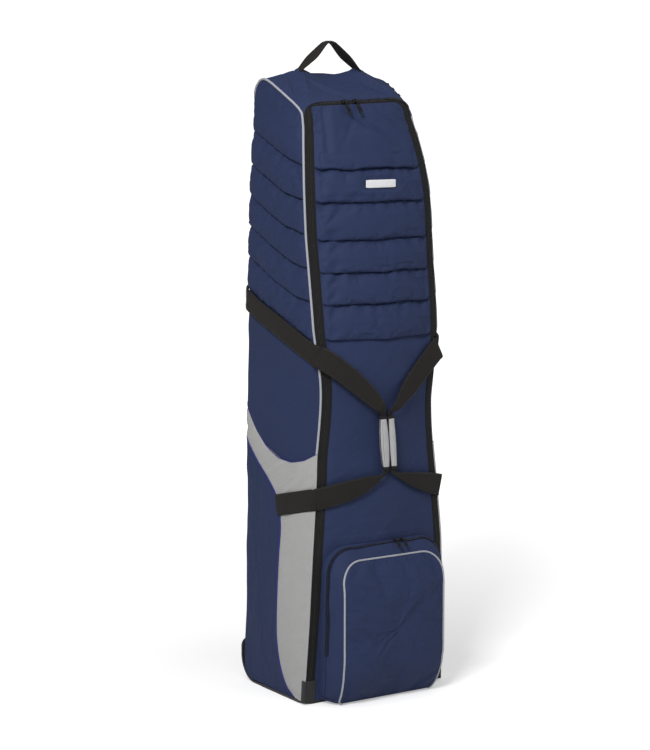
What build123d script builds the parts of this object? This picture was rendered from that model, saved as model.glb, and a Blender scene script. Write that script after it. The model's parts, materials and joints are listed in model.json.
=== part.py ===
from build123d import *
import math
import os

# Wheeled soft golf travel case, in millimetres.
# Frame: +X to the right of a person facing the front, +Y to the back, +Z up.
# Origin: centre of the base footprint, on the floor under the base tray.
# Soft parts are modelled on the left (-X) where they come in pairs, then mirrored.

os.makedirs("parts", exist_ok=True)

# --- driving dimensions ------------------------------------------------------
SHIFT = 117.0          # from the front corner plane back to the origin
REAR = 119.0           # outer face of the back panel, y
PANEL_T = 5.0          # padded fabric thickness
GAP = 0.8              # seam gap between neighbouring soft solids
WEB_W = 38.0           # webbing width
WEB_T = 3.0            # webbing thickness
TRAY_T = 4.4           # base tray floor thickness
RIM_H = 6.4            # base tray rim height
SIDE_Z0 = 7.2          # bottom edge of the fabric
FOLD_Z = 372.0         # fold line of the front flap, above the pocket
FLAP_SPLIT = 775.0     # seam between the upper and the lower flap panel
ARC_R = 55.0           # outer radius of the rear bottom corner, seen from the side
CHASSIS_REAR = 124.0   # rear face of the wheel chassis
ARC_Y = CHASSIS_REAR - ARC_R   # centre of the corner radius
ARC_Z = ARC_R
CHASSIS_TOP = 90.0     # top of the kick plate
WHEEL_R = 33.0
WHEEL_W = 24.0
WHEEL_X = 138.0        # centre plane of each wheel
WHEEL_Y = 86.0         # wheel axis
WHEEL_Z = 35.5
AXLE_R = 4.0
BEARING_R = 11.0
BEARING_W = 7.0

# Body: height, front half-width, front edge y before SHIFT, rear half-width
PROFILE = [
    (0, 177.5, -16.0, 175.0), (60, 176.0, -19.0, 173.9), (120, 174.1, -23.3, 173.3),
    (180, 171.4, -26.3, 173.1), (230, 169.7, -28.0, 173.0), (280, 167.9, -29.6, 172.7),
    (330, 165.7, -30.7, 172.2), (380, 161.7, -29.7, 171.7), (430, 157.4, -28.1, 171.1),
    (480, 153.4, -25.9, 170.4), (530, 149.9, -22.5, 169.7), (580, 144.8, -23.7, 168.9),
    (630, 141.7, -25.8, 168.0), (680, 143.8, -30.6, 167.4), (730, 150.3, -29.4, 167.1),
    (780, 157.0, -24.9, 166.2), (830, 158.6, -20.0, 164.9), (880, 159.0, -13.2, 163.4),
    (930, 159.3, -6.1, 161.8), (980, 160.5, -0.3, 160.1), (1030, 160.5, 3.8, 158.4),
    (1080, 159.2, 9.0, 156.4), (1130, 154.4, 18.1, 154.0), (1180, 147.1, 30.6, 151.4),
    (1230, 137.0, 47.1, 145.5),
]
PROFILE_TOP = PROFILE[-1][0]
TOP_HALF = PROFILE[-1][1]

# Front surface: height, bulge at mid width
BULGE = [(0, 8), (100, 15), (345, 25), (600, 28), (900, 30), (1100, 26), (1200, 16), (1280, 8)]

# Lines on the side: depth share (0 front edge, 1 rear edge), height
TOP_CURVE = [
    (0.0, 1241.0), (0.02, 1243.5), (0.153, 1258.6), (0.345, 1279.0), (0.539, 1297.5),
    (0.716, 1307.9), (0.876, 1293.2), (0.958, 1267.8), (0.992, 1234.7),
]
UPPER_SEAM = [(0.0, 770.0), (0.455, 819.0), (1.0, 869.0)]
BAND_TOP = [
    (0.0, 535.0), (0.14, 517.2), (0.303, 508.1), (0.472, 511.7),
    (0.644, 530.4), (0.8, 561.5), (0.911, 594.9), (1.0, 626.0),
]
BAND_LOW = [
    (0.985, 546.0), (0.904, 524.6), (0.77, 492.7), (0.616, 461.9), (0.503, 433.5),
    (0.456, 409.2), (0.428, 384.1), (0.42, 351.7), (0.433, 301.4), (0.442, 229.3),
    (0.441, 162.2), (0.42, 112.8), (0.371, 65.1), (0.276, 26.8), (0.16, 10.0),
]

CENTRED = (Align.CENTER, Align.CENTER, Align.CENTER)
STANDING = (Align.CENTER, Align.CENTER, Align.MIN)
FROM_FRONT = (Align.CENTER, Align.MIN, Align.MIN)
FROM_LEFT = (Align.MIN, Align.CENTER, Align.CENTER)


# --- body surfaces -----------------------------------------------------------
def lookup(value, table, column=1):
    """Linear interpolation in a table sorted by its first column, held at both ends."""
    if value <= table[0][0]:
        return table[0][column]
    for low, high in zip(table, table[1:]):
        if value <= high[0]:
            share = (value - low[0]) / (high[0] - low[0])
            return low[column] * (1 - share) + high[column] * share
    return table[-1][column]


def front_half(z):
    return lookup(z, PROFILE, 1)


def front_edge_y(z):
    return lookup(z, PROFILE, 2) - SHIFT + max(0.0, z - PROFILE_TOP) * 0.33


def rear_half(z):
    return lookup(z, PROFILE, 3)


def front_y(x, z):
    """Outer front surface, convex across its width."""
    share = min(1.0, abs(x) / front_half(z))
    return front_edge_y(z) - lookup(z, BULGE) * (1 - share * share)


def side_point(depth, z, out=0.0):
    """Point on the left side at a depth share, moved outward by out."""
    y_front = lookup(z, PROFILE, 2) - SHIFT
    swell = 24.0 * depth * (1 - depth) * min(1.0, z / 120.0)
    x = -(front_half(z) * (1 - depth) + rear_half(z) * depth) - swell - out
    return (x, y_front * (1 - depth) + REAR * depth, z)


# --- modelling helpers -------------------------------------------------------
def spaced(start, end, count):
    return [start + (end - start) * i / (count - 1) for i in range(count)]


def resample(path, count, scale=235.0):
    """Evenly spaced points on a 2D path; scale turns its first column into millimetres."""
    run = [0.0]
    for a, b in zip(path, path[1:]):
        run.append(run[-1] + math.hypot((b[0] - a[0]) * scale, b[1] - a[1]))
    points = []
    for i in range(count):
        target = run[-1] * i / (count - 1)
        k = max(j for j in range(len(run) - 1) if run[j] <= target + 1e-9)
        leg = run[k + 1] - run[k]
        share = 0.0 if leg == 0.0 else (target - run[k]) / leg
        a, b = path[k], path[k + 1]
        points.append((a[0] + (b[0] - a[0]) * share, a[1] + (b[1] - a[1]) * share))
    return points


def neighbours(path, i):
    """Points before and after point i of an open path."""
    return path[max(i - 1, 0)], path[min(i + 1, len(path) - 1)]


def faceted_solid(verts, loops):
    faces = []
    for loop in loops:
        wire = Wire.make_polygon([Vector(*verts[i]) for i in loop], close=True)
        faces.append(Face(wire))
    solid = Solid(Shell(faces))
    if solid.volume < 0:
        solid = Solid(Shell([-face for face in faces]))
    return solid


def triangles(a, b, c, d, flip=False):
    """The two halves of a quad."""
    if flip:
        return [(a, c, b), (a, d, c)]
    return [(a, b, c), (a, c, d)]


def slab(outer, inner, closed=False):
    """Solid between two equal grids of points; closed joins the last row to the first."""
    rows, cols = len(outer), len(outer[0])
    verts = [point for grid in (outer, inner) for row in grid for point in row]

    def out_at(i, j):
        return (i % rows) * cols + j

    def in_at(i, j):
        return rows * cols + out_at(i, j)

    loops = []
    for i in range(rows if closed else rows - 1):
        for j in range(cols - 1):
            cell = ((i, j), (i, j + 1), (i + 1, j + 1), (i + 1, j))
            loops += triangles(*[out_at(*k) for k in cell])
            loops += triangles(*[in_at(*k) for k in cell], flip=True)
        for j in (0, cols - 1):
            wall = (out_at(i, j), out_at(i + 1, j), in_at(i + 1, j), in_at(i, j))
            loops += triangles(*wall, flip=j != 0)
    if not closed:
        for j in range(cols - 1):
            for i in (0, rows - 1):
                wall = (out_at(i, j), out_at(i, j + 1), in_at(i, j + 1), in_at(i, j))
                loops += triangles(*wall, flip=i == 0)
    return faceted_solid(verts, loops)


def thicken(grid, thick):
    """Solid between a grid and its copy moved by thick towards the back."""
    return slab(grid, [[(x, y + thick, z) for x, y, z in row] for row in grid])


def on_front(grid, out=0.0):
    """Lay a grid of (x, z) on the front surface, moved forward by out."""
    return [[(x, front_y(x, z) - out, z) for x, z in row] for row in grid]


def tube(path, radius, sides=6, up=(0, 1, 0)):
    """Cord of polygonal section along a polyline, capped at both ends."""
    points = [Vector(*p) for p in path]
    verts = []
    for i, point in enumerate(points):
        before, after = neighbours(points, i)
        along = (after - before).normalized()
        first = along.cross(Vector(*up))
        if first.length < 0.2:
            first = along.cross(Vector(1, 0, 0))
        first = first.normalized()
        second = along.cross(first).normalized()
        for k in range(sides):
            angle = 2 * math.pi * k / sides
            corner = point + first * (radius * math.cos(angle)) + second * (radius * math.sin(angle))
            verts.append((corner.X, corner.Y, corner.Z))
    loops = []
    for i in range(len(points) - 1):
        for k in range(sides):
            a, b = i * sides + k, i * sides + (k + 1) % sides
            loops += triangles(a, b, b + sides, a + sides)
    loops.append(tuple(range(sides)))
    last = (len(points) - 1) * sides
    loops.append(tuple(last + k for k in range(sides))[::-1])
    return faceted_solid(verts, loops)


def box(size, at, align=CENTRED):
    return Box(*size, align=align).moved(Location(at))


def mirror_x(solid):
    return mirror(solid, about=Plane.YZ)


def write(name, *solids):
    """One STEP file; several solids stay separate in one compound."""
    shape = solids[0] if len(solids) == 1 else Compound(children=list(solids))
    shape.label = name
    export_step(shape, f"parts/{name}.step")


def write_pair(name, *solids):
    """Left solids as they are, right ones mirrored."""
    write(name + "_left", *solids)
    write(name + "_right", *[mirror_x(solid) for solid in solids])


# --- fabric sides ------------------------------------------------------------
SIDE_FRONT, SIDE_END = 0.02, 0.982      # depth shares where the side fabric starts and ends
UPPER_DEPTHS = [SIDE_FRONT, 0.09, 0.153, 0.345, 0.539, 0.716, 0.876, 0.958, SIDE_END]
MIDDLE_DEPTHS = [SIDE_FRONT, 0.15, 0.3, 0.47, 0.64, 0.8, 0.91, SIDE_END]


def side_slab(grid):
    """Panel on the left side from a grid of (depth, z)."""
    return slab(*[[[side_point(depth, z, out) for depth, z in row] for row in grid]
                  for out in (0.0, -PANEL_T)])


def side_strip(low, high, depths, step):
    """Side panel between two height functions, with rows about step apart."""
    span = max(high(depth) - low(depth) for depth in depths)
    count = max(3, int(span / step) + 1)
    return side_slab([[(depth, z) for z in spaced(low(depth), high(depth), count)]
                      for depth in depths])


def between(path_a, path_b, count):
    """Grid of points running straight across from one path to the other."""
    return [list(zip(spaced(a[0], b[0], count), spaced(a[1], b[1], count)))
            for a, b in zip(path_a, path_b)]


def offset_path(path, distance, scale=240.0):
    """Side-surface line moved to one side; scale is the nominal body depth."""
    moved = []
    for i, (depth, z) in enumerate(path):
        before, after = neighbours(path, i)
        step_y, step_z = (after[0] - before[0]) * scale, after[1] - before[1]
        length = math.hypot(step_y, step_z)
        moved.append((depth - step_z / length * distance / scale,
                      z + step_y / length * distance))
    return moved


def band_edges():
    """Outer and inner edge of the L-shaped band: from the rear edge forward, then down."""
    rear_legs, down_legs = len(MIDDLE_DEPTHS) - 1, 10
    outer = [(depth, lookup(depth, BAND_TOP) - GAP) for depth in MIDDLE_DEPTHS[::-1]]
    turn = [outer[-1], (SIDE_FRONT, 400.0), (SIDE_FRONT, SIDE_Z0)]
    outer = outer[:-1] + resample(turn, down_legs + 1)
    path = [(min(depth, SIDE_END), z) for depth, z in BAND_LOW] + [(0.12, SIDE_Z0)]
    inner = resample(path[:7], rear_legs + 1)[:-1] + resample(path[6:], down_legs + 1)
    return outer, inner


def lower_outer_edge():
    """Down the rear edge, round the bottom corner and forward to the foot of the band."""
    radius = ARC_R - 6.5
    edge = [(SIDE_END, z) for z in (542.0, 300.0, 120.0, ARC_Z + 4)]
    for k in range(1, 7):
        angle = math.radians(15.0 * k)
        y = ARC_Y + radius * math.cos(angle)
        z = ARC_Z - radius * math.sin(angle)
        y_front = lookup(z, PROFILE, 2) - SHIFT
        edge.append((min(SIDE_END, (y - y_front) / (REAR - y_front)), max(z, SIDE_Z0)))
    return edge + [(0.5, SIDE_Z0), (0.16, SIDE_Z0 - 0.4)]


band_outer, band_inner = band_edges()
lower_inner = [(min(depth, SIDE_END), max(z, SIDE_Z0))
               for depth, z in offset_path(band_inner, GAP * 1.3)]
lower_outer = resample(lower_outer_edge(), len(lower_inner))

write_pair("side_upper", side_strip(
    lambda depth: lookup(depth, UPPER_SEAM) + GAP / 2,
    lambda depth: lookup(depth, TOP_CURVE) - 1.0, UPPER_DEPTHS, 42.0))
write_pair("side_middle", side_strip(
    lambda depth: lookup(depth, BAND_TOP) + GAP,
    lambda depth: lookup(depth, UPPER_SEAM) - GAP / 2, MIDDLE_DEPTHS, 60.0))
write_pair("side_band", side_slab(between(band_outer, band_inner, 3)))
write_pair("side_lower", side_slab(between(lower_inner, lower_outer, 4)))

# --- back panel and its stiffener --------------------------------------------
BACK_HEIGHTS = [94.0, 200.0, 400.0, 600.0, 800.0, 1000.0, 1130.0, 1180.0, 1234.0]
BACK_INSET = 6.4        # from the body's rear half-width
BOARD_T = 2.4

write("back_panel", thicken(
    [[(share * (rear_half(z) - BACK_INSET), REAR, z) for share in (-1, -0.33, 0.33, 1)]
     for z in BACK_HEIGHTS], -PANEL_T))

stiffener = box((250.0, BOARD_T, 1040.0), (0, REAR - PANEL_T - GAP, 110.0),
                (Align.CENTER, Align.MAX, Align.MIN))
write("back_stiffener", fillet(stiffener.edges().filter_by(Axis.Y), 24.0))

# --- top panel ---------------------------------------------------------------
TOP_DEPTHS = [0.06, 0.153, 0.345, 0.539, 0.716, 0.82, 0.9, 0.958, 0.985]
TOP_SHARES = (-1, -0.86, -0.6, -0.3, 0, 0.3, 0.6, 0.86, 1)      # of the half-width


def top_crown(share, depth):
    """Rise above the side's top edge: an arch in front that turns into two low ridges."""
    front = 36.0 * math.sqrt(max(0.0, 1 - share * share))
    ridges = (17.0 * (1 - share * share)
              + 6.0 * math.exp(-((abs(share) - 0.52) / 0.16) ** 2)
              - 4.0 * math.exp(-(share / 0.3) ** 2))
    blend = min(1.0, depth / 0.5)
    fade = max(0.0, (depth - 0.8) / 0.2)
    return (front * (1 - blend) + ridges * blend) * (1 - fade)


def top_grid(drop):
    """Top surface sunk by drop; the rear turn-down sinks mostly forward."""
    grid = []
    for depth in TOP_DEPTHS:
        edge_x, y, z = side_point(depth, lookup(depth, TOP_CURVE))
        half = -edge_x - PANEL_T - 1.0
        turned = depth > 0.94
        y -= drop if turned else 0.0
        z += (1.0 if depth < 0.1 else 0.0) - drop * (0.3 if turned else 1.0)
        grid.append([(share * half, y, z + top_crown(share, depth)) for share in TOP_SHARES])
    return grid


write("top_panel", slab(top_grid(0.0), top_grid(PANEL_T)))

# --- edge piping -------------------------------------------------------------
PIPE_R = 2.6
BAND_PIPE_R = 1.1
FRONT_PIPE_HEIGHTS = (54.0, 120, 230, 330, 430, 530, 580, 630, 680, 730,
                      780, 880, 980, 1080, 1130, 1160, 1180, 1205, 1232.0)
TOP_PIPE_DEPTHS = (0.03, 0.09, 0.153, 0.345, 0.539, 0.716, 0.876, 0.958, 0.985)


def front_piping():
    """Cord up the left front edge, pulled forward at its top end."""
    return tube([(-(front_half(z) + 0.6),
                  front_edge_y(z) - 0.6 - (2.2 if z > 1200 else 0.0), z)
                 for z in FRONT_PIPE_HEIGHTS], PIPE_R)


def top_piping(scale=190.0):
    """Cord just above the top edge of the left side; scale is the nominal depth there."""
    path = []
    curve = [(depth, lookup(depth, TOP_CURVE)) for depth in TOP_PIPE_DEPTHS]
    for i, (depth, height) in enumerate(curve):
        x, y, z = side_point(depth, height)
        before, after = neighbours(curve, i)
        step_y, step_z = (after[0] - before[0]) * scale, after[1] - before[1]
        length = math.hypot(step_y, step_z)
        lift = PIPE_R + (1.4 if depth > 0.8 else 0.7)
        path.append((x + 3.2, y - step_z / length * lift, z + step_y / length * lift))
    return tube(path, PIPE_R, up=(1, 0, 0))


def band_piping(line):
    """Thin cord along one edge of the band."""
    clipped = [(min(max(depth, 0.03), 0.975), z) for depth, z in line]
    return tube([side_point(depth, z, PIPE_R) for depth, z in resample(clipped, 14)],
                BAND_PIPE_R, 4, up=(1, 0, 0))


write_pair("edge_piping", front_piping(), top_piping())
band_cords = [band_piping(BAND_TOP), band_piping(BAND_LOW)]
write("band_piping", *band_cords, *[mirror_x(cord) for cord in band_cords])

# --- long front zip ----------------------------------------------------------
ZIP_Z0 = 54.0           # lower end of the zip
ZIP_CORNER_R = 45.0     # outline corner radius at the top
ZIP_TOP = 1262.0        # height at which the corners end
ZIP_HEIGHTS = [ZIP_Z0, 120, 230, 280, 330, FOLD_Z + 1.0, 430, 530, 580, 630, 680, 730,
               780, 880, 980, 1080, 1130, 1180, ZIP_TOP - ZIP_CORNER_R]
LEG_HEIGHTS = [ZIP_Z0, 120, 180, 230, 280, 330, FOLD_Z - 1.0]

# Strips: outer and inner set-in from the front outline, distance forward, thickness
BODY_TAPE = (6.0, 15.0, 0.0, 1.6)
BODY_COIL = (15.4, 18.4, 1.0, 2.6)
FLAP_COIL = (19.6, 22.0, 1.0, 2.6)
FLAP_TAPE = (22.4, 32.0, 0.0, 1.6)


def top_outline_z(x):
    """Height of the front outline where it arches over the top."""
    share = min(1.0, abs(x) / TOP_HALF)
    return 1243.5 + 36.0 * math.sqrt(1 - share * share)


def zip_path(inset, bottom):
    """Inverted-U line of (x, z) set in from the front outline, from left to right."""
    radius = ZIP_CORNER_R - inset
    left = [(-(front_half(z) - inset), z) for z in ZIP_HEIGHTS if z >= bottom - 0.01]
    for k in range(1, 6):
        angle = math.radians(15.0 * k)
        z = ZIP_TOP - inset - radius * (1 - math.sin(angle))
        x = -((front_half(min(z, PROFILE_TOP)) - inset) - radius * (1 - math.cos(angle)))
        if k >= 3:
            # ease from the corner into the arch
            z += (top_outline_z(x) - ZIP_TOP) * (k - 2) / 3.0
        left.append((x, z))
    arch_half = TOP_HALF - inset - radius
    for share in (1.0, 0.66, 0.33):
        x = arch_half * share
        left.append((-x, top_outline_z(x) - inset))
    return left + [(0.0, top_outline_z(0.0) - inset)] + [(-x, z) for x, z in left[::-1]]


def arch_strip(strip, bottom):
    outer, inner, out, thick = strip
    pairs = zip(zip_path(outer, bottom), zip_path(inner, bottom))
    return thicken(on_front(pairs, out), thick)


def leg_strip(strip):
    """The same strip on the left leg, below the fold line."""
    outer, inner, out, thick = strip
    grid = [[(-(front_half(z) - inset), z) for inset in (outer, inner)] for z in LEG_HEIGHTS]
    return thicken(on_front(grid, out), thick)


write("main_zip_body_half", arch_strip(BODY_TAPE, ZIP_Z0), arch_strip(BODY_COIL, ZIP_Z0))
write("main_zip_flap_half",
      arch_strip(FLAP_TAPE, FOLD_Z + 1.0), arch_strip(FLAP_COIL, FOLD_Z + 1.0))
leg_tape, leg_coil = leg_strip(FLAP_TAPE), leg_strip(FLAP_COIL)
write("main_zip_lower_half", leg_tape, leg_coil, mirror_x(leg_tape), mirror_x(leg_coil))

# --- front flap, lower front panel and label ---------------------------------
FLAP_INSET = 33.2       # flap edge from the front outline
LOWER_INSET = 33.0      # lower front panel edge from the front outline
FRONT_SHARES = [-1, -0.8, -0.6, -0.4, -0.2, 0, 0.2, 0.4, 0.6, 0.8, 1]
UPPER_FLAP_HEIGHTS = (FLAP_SPLIT + 0.5, 848, 913, 980, 1058, 1127, 1180, 1212.0)
LOWER_FLAP_HEIGHTS = (FOLD_Z + 1.0, 430, 530, 580, 630, 680, 730, FLAP_SPLIT - 0.5)
LOWER_PANEL_HEIGHTS = (SIDE_Z0, 60, 120, 200, 280, FOLD_Z - 1.0)
LABEL_X, LABEL_Z = 12.0, 1092.0
LABEL_HALF_W, LABEL_HALF_H = 38.5, 8.5
LABEL_OUT, LABEL_T = 2.2, 1.3


def front_rows(heights, inset):
    return [[(share * (front_half(z) - inset), z) for share in FRONT_SHARES] for z in heights]


def upper_flap_panel():
    """Straight rows, then two rows that rise to the arched top edge."""
    grid = front_rows(UPPER_FLAP_HEIGHTS, FLAP_INSET)
    edge = [p for p in zip_path(FLAP_INSET, FOLD_Z + 1.0) if p[1] > 1216.0]
    top = resample(edge, len(FRONT_SHARES), scale=1.0)
    last = grid[-1]
    for share in (0.5, 1.0):
        grid.append([(a[0] * (1 - share) + b[0] * share, a[1] * (1 - share) + b[1] * share)
                     for a, b in zip(last, top)])
    return thicken(on_front(grid), PANEL_T)


write("flap_pleated_panel", upper_flap_panel())
write("flap_plain_panel",
      thicken(on_front(front_rows(LOWER_FLAP_HEIGHTS, FLAP_INSET)), PANEL_T))
write("lower_front_panel",
      thicken(on_front(front_rows(LOWER_PANEL_HEIGHTS, LOWER_INSET)), PANEL_T))

label_grid = [[(x, z) for z in (LABEL_Z - LABEL_HALF_H, LABEL_Z + LABEL_HALF_H)]
              for x in spaced(LABEL_X - LABEL_HALF_W, LABEL_X + LABEL_HALF_W, 6)]
write("label_patch", thicken(on_front(label_grid, LABEL_OUT), LABEL_T))

# --- front corner guards -----------------------------------------------------
GUARD_HEIGHTS = [RIM_H + 0.8, 28.0, 52.0]
GUARD_INSETS = (-2.4, 6.0, 17.0, 27.0)      # from the front outline, outer edge first
GUARD_OUT = 2.4
GUARD_T = 4.4

guard_outer = on_front([[(-(front_half(z) - inset), z) for inset in GUARD_INSETS]
                        for z in GUARD_HEIGHTS], GUARD_OUT)
guard_inner = [[(x + (0.9 if j == 0 else 0), y + GUARD_T, z)
                for j, (x, y, z) in enumerate(row)] for row in guard_outer]
guard = slab(guard_outer, guard_inner)
write("front_corner_guards", guard, mirror_x(guard))

# --- shoe pocket -------------------------------------------------------------
# Front seam of the pocket: height, y before SHIFT
POCKET_SEAM = [(3, -50), (15, -63), (30, -74), (60, -87),
               (100, -95), (250, -95), (290, -88), (312, -80)]
POCKET_TOP = 312.0
POCKET_MID_Z = 170.0
GUSSET_T = 2.6
POCKET_FACE_T = 3.0
POCKET_FACE_HEIGHTS = [9.0, 20.0, 35.0, 60, 100, 180, 240, 264, 284, 297, 305.0]


def pocket_outline(half, top, radius, bottom, taper):
    """Closed loop of (x, z) from bottom centre up the left side and down the right."""
    left = [(-half * share * taper, bottom) for share in (0.0, 0.5, 0.93)]
    for z in (bottom + 14.0, 60.0, 110.0, 180.0, 240.0):
        rise = min(1.0, (z - bottom) / 90.0)
        left.append((-half * (taper + (1 - taper) * math.sin(rise * math.pi / 2)), z))
    for k in range(6):
        angle = math.radians(18.0 * k)
        left.append((-(half - radius + radius * math.cos(angle)),
                     top - radius + radius * math.sin(angle)))
    left.append((-(half - radius) * 0.5, top))
    return left + [(0.0, top)] + [(-x, z) for x, z in left[:0:-1]]


REAR_LOOP = pocket_outline(half=146.0, top=341.0, radius=56.0, bottom=7.6, taper=0.985)
FACE_LOOP = pocket_outline(half=127.0, top=POCKET_TOP, radius=48.0, bottom=3.6, taper=0.95)
LOOP_COUNT = len(FACE_LOOP)
LOOP_TOP = FACE_LOOP.index((0.0, POCKET_TOP))


def seam_y(z):
    return lookup(z, POCKET_SEAM) - SHIFT


def gusset_point(i, share, inset=0.0):
    """Point on the pocket wall: share 0 at the rear loop, 1 at the face loop."""
    rear_x, rear_z = REAR_LOOP[i]
    face_x, face_z = FACE_LOOP[i]
    rear_y = front_y(rear_x, rear_z) - 1.2
    x = rear_x + (face_x - rear_x) * share
    y = rear_y + (seam_y(face_z) - rear_y) * share
    z = rear_z + (face_z - rear_z) * share
    # outward direction, square to the line between the neighbouring points
    before, after = FACE_LOOP[(i - 1) % LOOP_COUNT], FACE_LOOP[(i + 1) % LOOP_COUNT]
    step_x, step_z = after[0] - before[0], after[1] - before[1]
    length = math.hypot(step_x, step_z)
    out_x, out_z = -step_z / length, step_x / length
    if out_x * x + out_z * (z - POCKET_MID_Z) < 0:
        out_x, out_z = -out_x, -out_z
    # the wall swells outward between its two seams, less along the bottom
    swell = 6.0 * math.sin(math.pi * share) * (0.25 if rear_z < 20 else 1.0)
    move = swell - inset
    floor = 2.2 + (inset if out_z < -0.5 else 0.0)
    return (x + out_x * move, y, max(z + out_z * move, floor))


def gusset_strip(start, end, thick, out=0.0, count=2, whole=False):
    """Strip of the wall between two shares; the whole loop or only its zipped stretch."""
    indices = [i for i in range(LOOP_COUNT) if whole or FACE_LOOP[i][1] > 100.0]
    grids = [[[gusset_point(i, share, inset) for share in spaced(start, end, count)]
              for i in indices] for inset in (-out, thick - out)]
    return slab(*grids, closed=whole)


def pocket_face():
    """Bulging front of the pocket, inside its seam."""
    seam_half = [(z, -x) for x, z in FACE_LOOP[3:14]]
    grid = []
    for z in POCKET_FACE_HEIGHTS:
        half = lookup(z, seam_half) - 5.2
        fade = min(1.0, max(0.0, (z - 3) / 60.0)) * min(1.0, max(0.15, (330 - z) / 70.0))
        grid.append([(share * half, seam_y(z) - 11.0 * (1 - share * share) * fade, z)
                     for share in (-1, -0.7, -0.35, 0, 0.35, 0.7, 1)])
    return thicken(grid, POCKET_FACE_T)


write("pocket_gusset_rear", gusset_strip(0.02, 0.355, GUSSET_T, count=3, whole=True))
write("pocket_gusset_front", gusset_strip(0.385, 0.93, GUSSET_T, count=4, whole=True))
# each half is a tape and its coil
write("pocket_zip_rear_half",
      gusset_strip(0.27, 0.335, 1.0, out=1.5), gusset_strip(0.34, 0.364, 1.6, out=2.2))
write("pocket_zip_front_half",
      gusset_strip(0.405, 0.47, 1.0, out=1.5), gusset_strip(0.376, 0.40, 1.6, out=2.2))
write("pocket_face", pocket_face())
# up one side, over the top and down the other
write("pocket_piping", tube([(x, seam_y(z) - 2.6, z) for x, z in FACE_LOOP[3:-2]], 1.9))

# --- base tray and board -----------------------------------------------------
TRAY_FRONT, TRAY_REAR = -135.0, 39.4
TRAY_HALF = 178.0
TRAY_CORNER_R = 26.0
RIM_T = 3.2
SCREW_HOLE_R = 2.6
SCREW_PLACES = [(x, 29.0) for x in (-150.0, -62.0, 62.0, 150.0)]


def tray_block(half, depth, front, bottom, radius):
    """Block with rounded front corners."""
    block = box((2 * half, depth, RIM_H), (0, front, bottom), FROM_FRONT)
    return fillet(block.edges().filter_by(Axis.Z).group_by(Axis.Y)[0], radius)


def base_tray():
    """Flat floor with a low rim, open at the rear, and blind screw holes."""
    depth = TRAY_REAR - TRAY_FRONT
    outside = tray_block(TRAY_HALF, depth, TRAY_FRONT, 0, TRAY_CORNER_R)
    hollow = tray_block(TRAY_HALF - RIM_T, depth + 10, TRAY_FRONT + RIM_T, TRAY_T,
                        TRAY_CORNER_R - RIM_T)
    tray = outside - hollow
    tray = chamfer(tray.edges().group_by(Axis.Z)[0], 1.4)
    for x, y in SCREW_PLACES:
        hole = Cylinder(SCREW_HOLE_R, 3.6, align=STANDING)
        tray = tray - hole.moved(Location((x, y, 0.9)))
    return tray


write("base_tray", base_tray())
board = box((320.0, 124.0, 3.0), (0, -110.0, 5.0), FROM_FRONT)
write("base_board", fillet(board.edges().filter_by(Axis.Z), 18.0))

# --- rear wheel chassis ------------------------------------------------------
CHASSIS_HALF = 176.0
CHASSIS_FRONT = 40.0
POD_R = 41.0
CAVITY_R = 37.5
CHEEK_T = 4.5                       # pod wall on each side of the wheel
CAVITY_W = WHEEL_W + 4.0
POD_W = CAVITY_W + 2 * CHEEK_T


def along_x(solid, x):
    """Lay an upright solid along the wheel axis at x."""
    return solid.moved(Location((x, WHEEL_Y, WHEEL_Z), (0, 90, 0)))


def chassis_shell():
    """Bottom plate with a front tongue, rounded rear corner and kick plate."""
    inner_r = ARC_R - TRAY_T
    inner_y = ARC_Y + inner_r
    diagonal = math.sin(math.radians(45))
    with BuildPart() as shell:
        with BuildSketch(Plane.YZ.offset(-CHASSIS_HALF)):
            with BuildLine():
                Polyline((CHASSIS_FRONT, TRAY_T + 0.2), (18.0, TRAY_T + 0.2),
                         (18.0, TRAY_T + 4.0), (42.0, TRAY_T + 4.0), (46.0, TRAY_T),
                         (ARC_Y, TRAY_T))
                ThreePointArc((ARC_Y, TRAY_T),
                              (ARC_Y + inner_r * diagonal, ARC_Z - inner_r * diagonal),
                              (inner_y, ARC_Z))
                Polyline((inner_y, ARC_Z), (inner_y, CHASSIS_TOP),
                         (CHASSIS_REAR, CHASSIS_TOP), (CHASSIS_REAR, ARC_Z))
                ThreePointArc((CHASSIS_REAR, ARC_Z),
                              (ARC_Y + ARC_R * diagonal, ARC_Z - ARC_R * diagonal),
                              (ARC_Y, 0.0))
                Polyline((ARC_Y, 0.0), (CHASSIS_FRONT, 0.0), (CHASSIS_FRONT, TRAY_T + 0.2))
            make_face()
        extrude(amount=2 * CHASSIS_HALF)
    return shell.part.solid()


def pod_limit():
    """Space inside the outer skin, which trims the wheel pods."""
    radius = ARC_R - 1.0
    limit = Cylinder(radius, 400.0).rotate(Axis.Y, 90).moved(Location((0, ARC_Y, ARC_Z)))
    limit = limit + box((400.0, 60.0, 120.0), (0, ARC_Y, 1.0),
                        (Align.CENTER, Align.MAX, Align.MIN))
    return limit + box((400.0, 60.0 + radius, 80.0), (0, ARC_Y - 60.0, ARC_Z), FROM_FRONT)


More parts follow.
